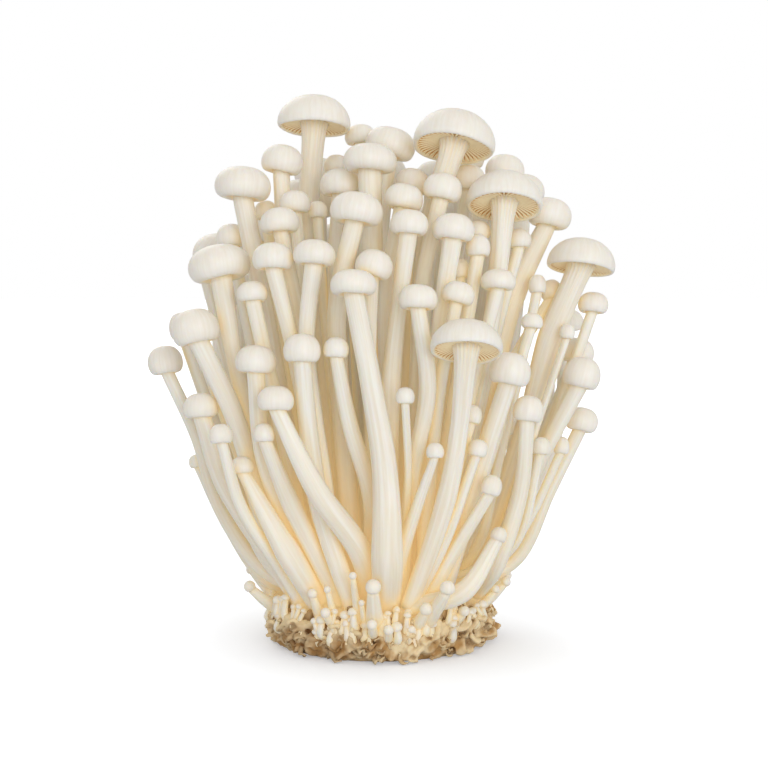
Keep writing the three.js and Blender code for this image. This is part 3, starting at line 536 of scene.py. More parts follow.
@dataclass
class PatternShop:
    """Models the patterns with rings drawn out one after another."""

    stem_sides: int = 26
    stem_rows: int = 46
    cap_sides: int = 44
    gill_count: int = 42
    gill_cuts: int = 6
    gill_inner: Pair = (0.2, 0.3)
    gill_outer: float = 0.87
    ridge_count: int = 21
    pin_sides: int = 12
    pin_rows: int = 12
    pin_cap_sides: int = 20
    patterns: dict[str, Pattern] = field(default_factory=dict)

    def keep(self, name: str) -> None:
        """Takes the active object as a pattern under a name."""
        piece = bpy.context.object
        piece.name = f"pattern_{name}"
        edit_all()
        bpy.ops.mesh.normals_make_consistent(inside=False)
        bpy.ops.object.mode_set(mode="OBJECT")
        bpy.ops.object.shade_smooth()
        for holder in list(piece.users_collection):
            holder.objects.unlink(piece)
        self.patterns[name] = Pattern(piece, places_of(piece.data))

    def drawn_rings(self, name: str, sides: int, rows: list[Pair]) -> None:
        """Draws a ring out through rows of radius and height and closes both ends.

        Args:
            name: The pattern's name.
            sides: The corners in a ring.
            rows: Radius and height of each ring.
        """
        deselect_all()
        bpy.ops.mesh.primitive_circle_add(vertices=sides, radius=rows[0][0], location=(0, 0, rows[0][1]))
        bpy.ops.object.transform_apply(location=True, rotation=True, scale=True)
        edit_all()
        for (radius, height), (new_radius, new_height) in zip(rows, rows[1:]):
            bpy.ops.mesh.extrude_region_move(TRANSFORM_OT_translate={"value": (0, 0, new_height - height)})
            ratio = new_radius / radius
            if abs(ratio - 1) > 1e-6:
                bpy.ops.transform.resize(value=(ratio, ratio, 1), center_override=(0, 0, new_height))
        bpy.ops.mesh.select_all(action="SELECT")
        bpy.ops.mesh.fill_holes(sides=0)
        bpy.ops.object.mode_set(mode="OBJECT")
        self.keep(name)

    def gill_ring(self) -> None:
        """Models one gill as a thin plate, then sets copies of it round the middle."""
        deselect_all()
        bpy.ops.mesh.primitive_cube_add(size=1, location=(0.5, 0, 0.5))
        bpy.ops.object.transform_apply(location=True, rotation=True, scale=True)
        blade = bpy.context.object
        bpy.ops.object.mode_set(mode="EDIT")
        for cut in range(1, self.gill_cuts + 1):
            bpy.ops.mesh.select_all(action="SELECT")
            bpy.ops.mesh.bisect(plane_co=(cut / (self.gill_cuts + 1), 0, 0), plane_no=(1, 0, 0))
        bpy.ops.object.mode_set(mode="OBJECT")
        unit = places_of(blade.data)
        plates = []
        for index in range(self.gill_count):
            plate = linked("gill", blade.data.copy())
            inner = self.gill_inner[index % 2]
            out = inner + (self.gill_outer - inner) * unit[:, 0]
            angle = 2 * math.pi * index / self.gill_count
            half = (0.004 + 0.027 * out) * (0.8 + 0.2 * unit[:, 2])
            across = unit[:, 1] * 2 * half
            set_places(plate.data, np.stack([
                out * math.cos(angle) - across * math.sin(angle),
                out * math.sin(angle) + across * math.cos(angle),
                unit[:, 2],
            ], axis=1))
            plates.append(plate)
        bpy.data.objects.remove(blade)
        joined("gills", plates)
        self.keep("gills")

    def build(self) -> None:
        """Models all the patterns."""
        rows = [(1.0, row / (self.stem_rows - 1)) for row in range(self.stem_rows)]
        self.drawn_rings("stem", self.stem_sides, rows)
        self.drawn_rings("ridged_stem", self.ridge_count * 4, rows)
        rows = [(1.0, row / (self.pin_rows - 1)) for row in range(self.pin_rows)]
        self.drawn_rings("pin_stem", self.pin_sides, rows)
        for form, profile in PROFILES.items():
            sides = self.pin_cap_sides if form is CapForm.PIN else self.cap_sides
            self.drawn_rings(form.value, sides, profile)
        self.gill_ring()


class Paint:
    """One material, with short ways to add its nodes and join them."""

    def __init__(self, name: str) -> None:
        """Starts a material.

        Args:
            name: The material's name.
        """
        self.material = bpy.data.materials.new(name)
        self.material.use_nodes = True
        self.nodes = self.material.node_tree.nodes
        self.link = self.material.node_tree.links.new
        self.shader = self.nodes["Principled BSDF"]

    def settle(self, values: dict[str, float | tuple[float, ...]]) -> None:
        """Sets sockets of the shader by name."""
        for name, value in values.items():
            self.shader.inputs[name].default_value = value

    def lead(self, source: Socket, name: str) -> None:
        """Leads a value to a socket of the shader."""
        self.link(source, self.shader.inputs[name])

    def kept(self, name: str, output: str = "Fac") -> Socket:
        """Reads what is kept for each corner of a mesh under a name."""
        node = self.nodes.new("ShaderNodeAttribute")
        node.attribute_name = name
        return node.outputs[output]

    def noise(self, place: Socket, scale: float, detail: float, roughness: float = 0.5) -> Socket:
        """Adds a noise of the given scale, detail and roughness, laid out by a place."""
        node = self.nodes.new("ShaderNodeTexNoise")
        node.inputs["Scale"].default_value = scale
        node.inputs["Detail"].default_value = detail
        node.inputs["Roughness"].default_value = roughness
        self.link(place, node.inputs["Vector"])
        return node.outputs["Fac"]

    def ramp(self, source: Socket, stops: list[tuple[float, Triple]]) -> Socket:
        """Turns a number into a colour by two or more stops, the lowest first."""
        node = self.nodes.new("ShaderNodeValToRGB")
        elements = node.color_ramp.elements
        for index, (place, colour) in enumerate(stops):
            stop = elements[index] if index < 2 else elements.new(place)
            stop.position = place
            stop.color = (*colour, 1)
        self.link(source, node.inputs["Fac"])
        return node.outputs["Color"]

    def mix(self, share: Socket, low: Socket | Triple, high: Socket | Triple) -> Socket:
        """Mixes two colours, either of which may be fixed, by a share that varies."""
        node = self.nodes.new("ShaderNodeMix")
        node.data_type = "RGBA"
        self.link(share, node.inputs[0])
        for socket, colour in ((node.inputs[6], low), (node.inputs[7], high)):
            if isinstance(colour, tuple):
                socket.default_value = (*colour, 1)
            else:
                self.link(colour, socket)
        return node.outputs[2]

    def bump(self, height: Socket, strength: float, distance: float) -> None:
        """Adds fine relief."""
        node = self.nodes.new("ShaderNodeBump")
        node.inputs["Strength"].default_value = strength
        node.inputs["Distance"].default_value = distance
        self.link(height, node.inputs["Height"])
        self.lead(node.outputs["Normal"], "Normal")


@dataclass(frozen=True)
class FleshFinish:
    """Moist, slightly translucent mushroom flesh, golden with painted shade and lit by painted light where
    crowded.
    """

    name: str
    pale: Triple
    warm: Triple
    painted_shade_colour: Triple
    stretch: Triple
    bump: float
    roughness: float
    scatter: float
    painted_glow: float
    # The colour of the painted light that the crowded flesh gives off, though it is no lamp
    light: Triple = (0.80, 0.66, 0.40)

    def make(self) -> Material:
        """Makes the material: streaks along the grain, with painted golden shade and a faint painted light
        where the bunch is crowded.
        """
        paint = Paint(self.name)
        mapping = paint.nodes.new("ShaderNodeMapping")
        mapping.inputs["Scale"].default_value = self.stretch
        paint.link(paint.kept("grain", "Vector"), mapping.inputs["Vector"])
        streaks = paint.noise(mapping.outputs["Vector"], 1.0, 4.0, 0.6)
        flesh = paint.ramp(streaks, [(0.34, self.warm), (0.62, self.pale)])
        # Painted shade and light: where a corner is hemmed in, the flesh turns golden and gives off faint
        # light
        inner = paint.kept("inner")
        paint.lead(paint.mix(inner, flesh, self.painted_shade_colour), "Base Color")
        paint.lead(paint.mix(inner, (0, 0, 0), self.light), "Emission Color")
        paint.bump(streaks, self.bump, 0.2 * MM)
        paint.settle({
            "Emission Strength": self.painted_glow,
            "Roughness": self.roughness,
            "Subsurface Weight": self.scatter,
            "Subsurface Radius": (1.0, 0.72, 0.4),
            "Subsurface Scale": 3.5 * MM,
            "IOR": 1.4,
            "Specular IOR Level": 0.4,
        })
        return paint.material


@dataclass(frozen=True)
class MatFinish:
    """Ragged mycelium: tan folds, cream young growth, brown painted shade in the hollows and the withered
    bud's own brown.
    """

    name: str = "ragged mycelium"
    tan: Triple = (0.46, 0.255, 0.085)
    cream: Triple = (0.84, 0.68, 0.43)
    brown: Triple = (0.24, 0.11, 0.03)

    def make(self) -> Material:
        """Makes the material: cream on what stands out, brown painted shade in the hollows and the bud's
        own brown, in drifting patches.
        """
        paint = Paint(self.name)
        place = paint.nodes.new("ShaderNodeTexCoord").outputs["Object"]
        patches = paint.noise(place, 190.0, 3.0)
        fine = paint.noise(place, 1500.0, 4.0)
        patch = paint.ramp(patches, [(0.42, self.tan), (0.62, self.cream)])
        lightened = paint.mix(paint.kept("proud"), patch, self.cream)
        # Brown painted shade in the hollows, and the withered bud's own brown
        paint.lead(paint.mix(paint.kept("brown_and_painted_shade"), lightened, self.brown), "Base Color")
        paint.bump(fine, 0.6, 0.3 * MM)
        paint.settle({
            "Roughness": 0.82,
            "Subsurface Weight": 0.12,
            "Subsurface Radius": (1.0, 0.6, 0.3),
            "Subsurface Scale": 1.2 * MM,
        })
        return paint.material


@dataclass(frozen=True)
class GillFinish:
    """Gills with pale edges, painted golden shade between them and a faint painted light."""

    name: str = "gills"
    painted_valley_shade: Triple = (0.60, 0.30, 0.06)
    edge: Triple = (0.97, 0.84, 0.56)
    falloff: float = 4.0
    painted_glow: float = 0.08

    def make(self) -> Material:
        """Makes the material: pale along the free edge of each gill, golden painted shade between them, and
        faint painted light.
        """
        paint = Paint(self.name)
        lip = paint.nodes.new("ShaderNodeMath")
        lip.operation = "POWER"
        lip.inputs[1].default_value = self.falloff
        paint.link(paint.kept("edge"), lip.inputs[0])
        # Painted shade between the gills, and painted light given off in the same colour
        colour = paint.mix(lip.outputs["Value"], self.painted_valley_shade, self.edge)
        paint.lead(colour, "Base Color")
        paint.lead(colour, "Emission Color")
        paint.settle({"Emission Strength": self.painted_glow, "Roughness": 0.55})
        return paint.material


@dataclass
class Crowding:
    """How closely neighbours stand round each place, which sets the painted warm shade and light on the
    flesh and the painted shade on the mat.
    """

    pieces: list[Piece]
    reach: float = 24 * MM
    ray_count: int = 10
    start_gap: float = 0.06
    sky_discount: float = 0.55
    tree: BVHTree = field(init=False)
    directions: np.ndarray = field(init=False)

    def __post_init__(self) -> None:
        """Gathers the skins, and the directions to look in from each place."""
        corners = []
        faces = []
        start = 0
        for piece in self.pieces:
            faces.append(triangles_of(piece.data) + start)
            corners.append(places_of(piece.data))
            start += len(corners[-1])
        self.tree = BVHTree.FromPolygons(
            np.vstack(corners).tolist(), np.vstack(faces).tolist(), all_triangles=True,
        )
        index = np.arange(self.ray_count)
        out = np.sqrt((index + 0.5) / self.ray_count)
        turn = index * math.pi * (3 - math.sqrt(5))
        self.directions = np.stack([out * np.cos(turn), out * np.sin(turn), np.sqrt(1 - out**2)], axis=1)

    def around(self, mesh: Mesh, rounds: int) -> np.ndarray:
        """Looks out from each corner of a mesh.

        Args:
            mesh: The mesh.
            rounds: How far the result is evened out.

        Returns:
            For each corner, 0 in the open to 1 where it is hemmed in.
        """
        places = places_of(mesh)
        normals = normals_of(mesh)
        helper = np.where(np.abs(normals[:, 2:]) < 0.9, [[0.0, 0.0, 1.0]], [[1.0, 0.0, 0.0]])
        side = np.cross(helper, normals)
        side = side / np.linalg.norm(side, axis=1, keepdims=True).clip(1e-9)
        other = np.cross(normals, side)
        starts = (places + normals * self.start_gap * MM).tolist()
        total = np.zeros(len(places))
        cast = self.tree.ray_cast
        for across, along, up in self.directions:
            ways = side * across + other * along + normals * up
            far = [cast(start, way, self.reach)[3] for start, way in zip(starts, ways.tolist())]
            gaps = np.array([self.reach if gap is None else gap for gap in far])
            total += (1 - gaps / self.reach) * (1 - self.sky_discount * np.clip(ways[:, 2], 0, 1))
        return softened(mesh, total / self.ray_count, rounds)


@dataclass
class Mushroom:
    """Builds one mushroom, stem and cap, from the patterns."""

    growth: Growth
    shop: PatternShop
    stem_flesh: Material
    cap_flesh: Material
    gill_flesh: Material
    cap_share: float = 0.985
    flare: float = 0.42
    flare_length: float = 2.2 * MM
    ridge_length: float = 5 * MM
    foot_swell: float = 0.12
    foot_length: float = 9 * MM
    under_rows: int = 7

    @staticmethod
    def dressed(
        name: str, pattern: Pattern, finish: Material, places: np.ndarray,
        grain: list[np.ndarray], inner: np.ndarray, edge: np.ndarray | None = None,
    ) -> Piece:
        """Makes one part: a copy of a pattern with its corners in place and their values kept.

        Args:
            name: The part's name.
            pattern: The pattern.
            finish: The part's finish.
            places: Where the corners go.
            grain: Where each corner lies in the streaks, as x, y and z.
            inner: How much painted warm shade and painted light each corner takes by itself.
            edge: How near each corner lies to the free edge of a gill.

        Returns:
            The part.
        """
        piece = pattern.copy(name, finish)
        set_places(piece.data, places)
        set_vector(piece.data, "grain", np.stack(grain, axis=1))
        set_number(piece.data, "inner", inner)
        set_number(piece.data, "edge", np.zeros(len(places)) if edge is None else edge)
        return piece

    def stem(self) -> Piece:
        """Bends a copy of the stem pattern along the solid's own line."""
        growth = self.growth
        is_pin = growth.form is CapForm.PIN
        is_open = growth.form is CapForm.OPEN
        pattern = self.shop.patterns["pin_stem" if is_pin else "ridged_stem" if is_open else "stem"]
        rows = self.shop.pin_rows if is_pin else self.shop.stem_rows
        inside = growth.low + growth.axis * growth.cap_height * (0.3 if is_open else 0.2)
        points = np.vstack([growth.path, inside])
        radii = np.append(growth.radii, growth.radii[-1])
        curve = PathCurve(points, radii, growth.axis, rows)
        unit = pattern.places
        row = np.clip(np.round(unit[:, 2] * (rows - 1)).astype(int), 0, rows - 1)
        angle, _ = polar(unit)
        along = curve.along[row]
        wave = Ripple(growth.seed, 0.05).at(angle, along / (14 * MM))
        ribs = Ripple(growth.seed + 1, 0.03, (7, 9, 11)).at(angle, along / (40 * MM)) * 3
        to_neck = curve.length - along
        swell = 1 + self.foot_swell * np.exp(-along / self.foot_length)
        ridge = np.zeros_like(along)
        if is_open:
            swell = swell + self.flare * np.exp(-to_neck / self.flare_length)
            ridge = np.cos(angle * self.shop.ridge_count) * np.exp(-to_neck / self.ridge_length)
        radius = curve.radii[row] * (1 + wave + ribs + ridge * 0.05) * swell
        places = (
            curve.centres[row]
            + curve.side[row] * (radius * np.cos(angle))[:, None]
            + curve.other[row] * (radius * np.sin(angle))[:, None]
        )
        thick = float(growth.radii.mean()) / MM
        grain = [thick * np.cos(angle) + growth.seed * 7.3, thick * np.sin(angle), along / MM]
        # Painted shade: an open cap's stem turns warmer just below the cap and in the grooves between its
        # ridges
        inner = (np.exp(-to_neck / self.ridge_length) - ridge) * 0.3 * is_open
        return self.dressed("stem", pattern, self.stem_flesh, places, grain, inner)

    def frame(self) -> tuple[np.ndarray, np.ndarray]:
        """Gives two directions square to the cap's axis and to each other."""
        axis = self.growth.axis
        side = np.array([1.0, 0.0, 0.0]) - axis * axis[0]
        side = side / np.linalg.norm(side)
        return side, np.cross(axis, side)

    def fitted(self, unit: np.ndarray, angle: np.ndarray, out: np.ndarray) -> np.ndarray:
        """Fits cap places, in shares of its radius and height, to this mushroom.

        Args:
            unit: Rows of x and y in shares of the radius, and z in shares of the height.
            angle: The angle of each row round the axis.
            out: The distance of each row from the axis, in shares of the radius.

        Returns:
            The places.
        """
        growth = self.growth
        side, other = self.frame()
        uneven = 1 + Ripple(growth.seed + 2, 0.035).at(angle, np.zeros_like(angle))
        size = growth.cap_radius * self.cap_share * uneven
        lift = unit[:, 2] * growth.cap_height
        wavy = Ripple(growth.seed + 3, 0.045, (2, 3, 4)).at(angle, out)
        lift = lift + wavy * growth.cap_height * out**2 * (1 - unit[:, 2] * 0.7)
        return (
            growth.low
            + side * (unit[:, 0] * size)[:, None]
            + other * (unit[:, 1] * size)[:, None]
            + growth.axis * lift[:, None]
        )

    def cap(self) -> Piece:
        """Fits a copy of the cap pattern to the solid's cap."""
        growth = self.growth
        pattern = self.shop.patterns[growth.form.value]
        unit = pattern.places
        angle, out = polar(unit)
        size = growth.cap_radius / MM
        down = (1 - unit[:, 2] + out) * size
        grain = [np.cos(angle) * size + growth.seed * 5.1, np.sin(angle) * size, down]
        # Painted shade: the underside turns golden inward of the rim, where the cap shades it
        underside_shade = np.zeros_like(out)
        if growth.form is not CapForm.PIN:
            beneath = np.arange(len(out)) < self.shop.cap_sides * self.under_rows
            limits = (0.93, 0.84) if growth.form is CapForm.OPEN else (0.7, 0.3)
            underside_shade = smoothstep(*limits, out) * beneath
        return self.dressed("cap", pattern, self.cap_flesh, self.fitted(unit, angle, out), grain, underside_shade)

    def gills(self) -> Piece:
        """Fits a copy of the ring of gills under an open cap."""
        pattern = self.shop.patterns["gills"]
        unit = pattern.places
        angle, out = polar(unit)
        profile = PROFILES[CapForm.OPEN][:self.under_rows]
        roof = np.interp(out, [row[0] for row in profile], [row[1] for row in profile])
        fall = 0.21 * np.sin(np.clip((0.88 - out) / 0.7, 0, 1) * math.pi * 0.6) ** 0.8 + 0.005
        height = roof + 0.03 - (1 - unit[:, 2]) * (fall + 0.03)
        places = self.fitted(np.stack([unit[:, 0], unit[:, 1], height], axis=1), angle, out)
        grain = list(places.T / MM)
        plain = np.zeros(len(places))
        return self.dressed("gills", pattern, self.gill_flesh, places, grain, plain, 1 - unit[:, 2])

    def build(self) -> list[Piece]:
        """Makes the parts of the mushroom."""
        parts = [self.stem(), self.cap()]
        if self.growth.form is CapForm.OPEN:
            parts.append(self.gills())
        return parts


@dataclass(frozen=True)
class Spread:
    """How copies of a small shape lie round the wall of the mat.

    Attributes:
        count: How many copies.
        sizes: Smallest and largest size.
        reach: Least and greatest distance from the middle.
        heights: Least and greatest height.
        seed: Picks the places.
        lie: How far, in radians, a copy may turn away from lying along the wall.
    """

    count: int
    sizes: Pair
    reach: Pair
    heights: Pair
    seed: int
    lie: float = math.pi


@dataclass
class MyceliumMat:
    """The ragged mat at the foot.

    Ribbons, curled flaps and knobs grow over a slab and are made one skin. Thin frills and one
    withered bud lie on it.
    """

    centre: np.ndarray
    slab_radius: float = 25.6 * MM
    slab_height: float = 7.6 * MM
    ribbons: Spread = Spread(
        340, (5.5 * MM, 10.5 * MM), (24.6 * MM, 27.2 * MM), (0.8 * MM, 9.0 * MM), 44, 0.55,
    )
    flaps: Spread = Spread(130, (2.2 * MM, 4.4 * MM), (24.4 * MM, 26.9 * MM), (1.0 * MM, 10.0 * MM), 41)
    wall_knobs: Spread = Spread(310, (1.2 * MM, 2.6 * MM), (25.6 * MM, 27.4 * MM), (0.5 * MM, 8.5 * MM), 42)
    top_knobs: Spread = Spread(310, (1.3 * MM, 2.6 * MM), (6 * MM, 24.5 * MM), (7.2 * MM, 9.6 * MM), 43)
    frills: Spread = Spread(
        240, (3.0 * MM, 7.0 * MM), (26.2 * MM, 27.6 * MM), (0.9 * MM, 8.6 * MM), 46, 0.8,
    )
    ribbon_thickness: float = 0.1
    frill_thickness: float = 0.05
    bulge_height: float = 10 * MM
    inset: float = 1.6 * MM
    least_height: float = 0.15 * MM
    bud_place: Triple = (-6.5 * MM, -25.2 * MM, 12.6 * MM)
    bud_width: float = 2.5 * MM
    skin_step: float = 0.43 * MM
    soft_rounds: int = 14
    seed: int = 41

    def slab(self) -> Piece:
        """Adds the slab inside the mat."""
        deselect_all()
        bpy.ops.mesh.primitive_cylinder_add(
            vertices=80, radius=self.slab_radius, depth=self.slab_height,
            location=(self.centre[0], self.centre[1], self.slab_height / 2),
        )
        bpy.ops.object.transform_apply(location=True, rotation=True, scale=True)
        edit_all()
        bpy.ops.mesh.bevel(offset=1.2 * MM, segments=3, affect="EDGES")
        bpy.ops.object.mode_set(mode="OBJECT")
        return bpy.context.object

    @staticmethod
    def sheet(columns: int, rows: int) -> tuple[Piece, np.ndarray]:
        """Adds a flat square sheet to bend, and gives it with its corners."""
        deselect_all()
        bpy.ops.mesh.primitive_grid_add(x_subdivisions=columns, y_subdivisions=rows, size=1)
        return bpy.context.object, places_of(bpy.context.object.data)

    @staticmethod
    def thickened(sheet: Piece, thickness: float) -> Piece:
        """Makes a bent sheet solid."""
        sheet.modifiers.new("thick", "SOLIDIFY").thickness = thickness
        bpy.ops.object.modifier_apply(modifier="thick")
        return sheet

    def curl(self) -> Piece:
        """Models one curled flap, a strip rolled over at its free end."""
        flap, places = self.sheet(3, 9)
        along = places[:, 1] + 0.5
        roll = along * 3.6
        bend = 0.34
        set_places(flap.data, np.stack([
            places[:, 0] * 0.75 * (1 - 0.35 * along),
            along * 0.55 + bend * np.sin(roll) * along,
            bend * (1 - np.cos(roll)) * along + 0.12 * np.cos(places[:, 0] * 7),
        ], axis=1))
        return self.thickened(flap, 0.2)

    def ribbon(self, thickness: float) -> Piece:
        """Models one long folded ribbon that runs along the wall.

        Args:
            thickness: Its thickness, in shares of its length.

        Returns:
            The ribbon.
        """
        band, places = self.sheet(2, 16)
        along = places[:, 1]
        set_places(band.data, np.stack([
            places[:, 0] * 0.26 + 0.05 * np.sin(along * 11),
            along + 0.04 * np.sin(along * 17),
            0.1 * np.sin(along * 13) + 0.07 * np.sin(places[:, 0] * 5 + along * 6),
        ], axis=1))
        return self.thickened(band, thickness)

    def knob(self) -> Piece:
        """Models one knob, a ball with a dent."""
        deselect_all()
        bpy.ops.mesh.primitive_ico_sphere_add(subdivisions=2, radius=0.5)
        ball = bpy.context.object
        places = places_of(ball.data)
        dent = 1 - 0.25 * np.exp(-((places[:, 0] - 0.3) ** 2 + places[:, 1] ** 2) * 14)
        set_places(ball.data, places * dent[:, None])
        return ball

    def scatter(self, model: Piece, spread: Spread) -> list[Piece]:
        """Sets turned copies of a small shape round the wall of the mat.

        Args:
            model: The shape.
            spread: How the copies lie.

        Returns:
            The copies.
        """
        random = np.random.default_rng(spread.seed)
        unit = places_of(model.data)
        made = []
        for _ in range(spread.count):
            bearing = random.uniform(0, 2 * math.pi)
            height = random.uniform(*spread.heights)
            bulge = math.sin(min(1.0, height / self.bulge_height) * math.pi)
            out = random.uniform(*spread.reach) - self.inset * (1 - bulge)
            size = random.uniform(*spread.sizes)
            tilts = random.uniform(-spread.lie, spread.lie, 3)
            turn = np.array(Euler((tilts[0], tilts[1] * 0.6, bearing)).to_matrix())
            turn = turn @ np.array(Euler((0, 0, tilts[2])).to_matrix())
            middle = np.array([
                self.centre[0] + out * math.cos(bearing), self.centre[1] + out * math.sin(bearing), height,
            ])
            stretch = random.uniform(0.7, 1.3, 3)
            copy = linked(model.name, model.data.copy())
            moved = (unit * stretch * size) @ turn.T + middle
            moved[:, 2] += max(0.0, self.least_height - moved[:, 2].min())
            set_places(copy.data, moved)
            made.append(copy)
        return made

    @staticmethod
    def roughen(mesh: Mesh) -> None:
        """Breaks up the skin finely and keeps it over the floor."""
        places = places_of(mesh)
        rough = np.sin(places[:, 0] / (0.61 * MM)) * np.sin(places[:, 1] / (0.53 * MM) + 1.3)
        rough = rough * np.sin(places[:, 2] / (0.57 * MM) + 0.4)
        places = places + normals_of(mesh) * (rough * 0.12 * MM)[:, None]
        places[:, 2] = np.maximum(places[:, 2], 0.0)
        set_places(mesh, places)

    def hollows(self, mesh: Mesh) -> None:
        """Notes brown painted shade in the hollows of the skin, less of it where young growth stands high,
        and how far each corner stands proud.
        """
        places = places_of(mesh)
        soft = softened(mesh, places, self.soft_rounds)
        sunk = np.einsum("ij,ij->i", soft - places, normals_of(mesh))
        bearing, _ = polar(places - self.centre)
        drift = 0.5 + 0.3 * np.cos(bearing * 3 + 1.8) + 0.2 * np.cos(bearing * 7 + 0.4)
        young = smoothstep(4.5 * MM, 9.5 * MM, places[:, 2] + (drift - 0.4) * 4 * MM)
        # Painted shade, darker the further a corner is sunk
        painted_hollow_shade = smoothstep(0.05 * MM, 0.5 * MM, sunk)
        set_number(mesh, "brown_and_painted_shade", painted_hollow_shade * (0.9 - 0.6 * young))
        proud = smoothstep(0.1 * MM, 0.55 * MM, -sunk) * 0.55
        set_number(mesh, "proud", np.clip(proud + young * 0.6, 0, 1))

    @staticmethod
    def tone(mesh: Mesh, brown_and_painted_shade: float, proud: float) -> None:
        """Gives a whole shape one tone: brown by the first number, cream by the second."""
        count = len(mesh.vertices)
        set_number(mesh, "brown_and_painted_shade", np.full(count, brown_and_painted_shade))
        set_number(mesh, "proud", np.full(count, proud))

    def dressing(self) -> list[Piece]:
        """Lays thin dry frills over the wall, and the one withered bud among the front stems."""
        band = self.ribbon(self.frill_thickness)
        made = self.scatter(band, self.frills)
        bpy.data.objects.remove(band)
        tones = np.random.default_rng(self.seed).uniform(0.0, 0.8, len(made))
        for frill, tone in zip(made, tones):
            self.tone(frill.data, 0.0, tone)
        return [*made, self.withered()]

    def withered(self) -> Piece:
        """Models the withered brown bud, a shrivelled knob."""
        ball = self.knob()
        places = places_of(ball.data)
        x, y, z = places.T
        dents = 1 + 0.16 * np.sin(x * 19) * np.sin(y * 17 + 1) * np.sin(z * 15)
        set_places(ball.data, places * dents[:, None] * self.bud_width + np.array(self.bud_place))
        self.tone(ball.data, 0.9, 0.0)
        return ball

    def build(self, material: Material) -> Piece:
        """Makes the mat.

        Args:
            material: The finish.

        Returns:
            The mat, one piece.
        """
        parts = [self.slab()]
        curl = self.curl()
        knob = self.knob()
        band = self.ribbon(self.ribbon_thickness)
        layers = ((band, self.ribbons), (curl, self.flaps), (knob, self.wall_knobs), (knob, self.top_knobs))
        for model, spread in layers:
            parts += self.scatter(model, spread)
        for model in (curl, knob, band):
            bpy.data.objects.remove(model)
        mat = joined("mycelium_mass", parts)
        skin = mat.modifiers.new("skin", "REMESH")
        skin.mode = "VOXEL"
        skin.voxel_size = self.skin_step
        bpy.ops.object.modifier_apply(modifier="skin")
        self.roughen(mat.data)
        self.hollows(mat.data)
        mat = joined("mycelium_mass", [mat, *self.dressing()])
        bpy.ops.object.shade_smooth()
        mat.data.materials.clear()
        mat.data.materials.append(material)
        return mat


@dataclass
class Studio:
    """The pale floor, the soft light and the camera."""

    distance: float = 420 * MM
    lift: float = math.radians(4.5)
    aim_height: float = 64.5 * MM
    side: float = 1.13 * MM
    depth: float = -0.3 * MM
    lens: float = 78.75

    def floor(self) -> None:
        """Lays a plain pale floor that looks white to the camera away from the bunch, with a painted shadow
        round it.
        """
        deselect_all()
        bpy.ops.mesh.primitive_plane_add(size=6)
        floor = bpy.context.object
        floor.name = "floor"
        paint = Paint("pale floor")
        place = paint.nodes.new("ShaderNodeTexCoord").outputs["Object"]
        distance = paint.nodes.new("ShaderNodeVectorMath")
        distance.operation = "LENGTH"
        paint.link(place, distance.inputs[0])
        # Painted shadow: the light that the floor gives off to the camera dims towards the bunch
        glow_and_painted_shadow = paint.ramp(distance.outputs["Value"], [
            (0.03, (0.33, 0.33, 0.335)), (0.075, (0.6, 0.6, 0.6)), (0.3, (0.8, 0.8, 0.8)),
        ])
        paint.lead(glow_and_painted_shadow, "Emission Color")
        paint.lead(paint.nodes.new("ShaderNodeLightPath").outputs["Is Camera Ray"], "Emission Strength")
        paint.settle({"Base Color": (0.73, 0.765, 0.83, 1), "Roughness": 0.9, "Specular IOR Level": 0.1})
        floor.data.materials.append(paint.material)

    def sky(self) -> None:
        """Surrounds the scene with soft warm light, white where the camera looks straight at it."""
        world = bpy.data.worlds.new("studio")
        world.use_nodes = True
        nodes = world.node_tree.nodes
        link = world.node_tree.links.new
        backdrop = nodes["Background"]
        backdrop.inputs["Color"].default_value = (1.0, 0.97, 0.91, 1)
        backdrop.inputs["Strength"].default_value = 0.71
        bright = nodes.new("ShaderNodeBackground")
        bright.inputs["Color"].default_value = (1, 1, 1, 1)
        bright.inputs["Strength"].default_value = 1.0
        path = nodes.new("ShaderNodeLightPath")
        mix = nodes.new("ShaderNodeMixShader")
        link(path.outputs["Is Camera Ray"], mix.inputs["Fac"])
        link(backdrop.outputs["Background"], mix.inputs[1])
        link(bright.outputs["Background"], mix.inputs[2])
        link(mix.outputs["Shader"], nodes["World Output"].inputs["Surface"])
        bpy.context.scene.world = world

    def lamp(self, name: str, place: Triple, size: float, power: float) -> None:
        """Hangs one soft lamp that faces the bunch.

        Args:
            name: The lamp's name.
            place: Where it hangs.
            size: Its width.
            power: Its power in watts.
        """
        light = bpy.data.lights.new(name, "AREA")
        light.size = size
        light.energy = power
        light.color = (0.97, 0.985, 1.0)
        lamp = linked(name, light)
        where = np.array(place)
        aim = np.array([0.0, 0.0, self.aim_height])
        lamp.location = place
        lamp.rotation_euler = Vector(aim - where).to_track_quat("-Z", "Y").to_euler()

    def camera(self) -> None:
        """Sets the camera where the photograph was taken from."""
        data = bpy.data.cameras.new("camera")
        data.lens = self.lens
        data.sensor_width = 36.0
        data.clip_start = 0.01
        camera = linked("camera", data)
        aim = Vector((self.side, self.depth, self.aim_height))
        back = Vector((0, -math.cos(self.lift), math.sin(self.lift)))
        camera.location = aim + back * self.distance
        camera.rotation_euler = (-back).to_track_quat("-Z", "Y").to_euler()
        bpy.context.scene.camera = camera

    def build(self) -> None:
        """Sets up the whole studio."""
        self.floor()
        self.sky()
        self.lamp("key", (0.32, -1.0, 0.17), 0.8, 6.0)
        self.lamp("rear", (-0.5, 0.9, 0.8), 0.8, 3.0)
        self.camera()
        bpy.context.scene.view_settings.view_transform = "Standard"


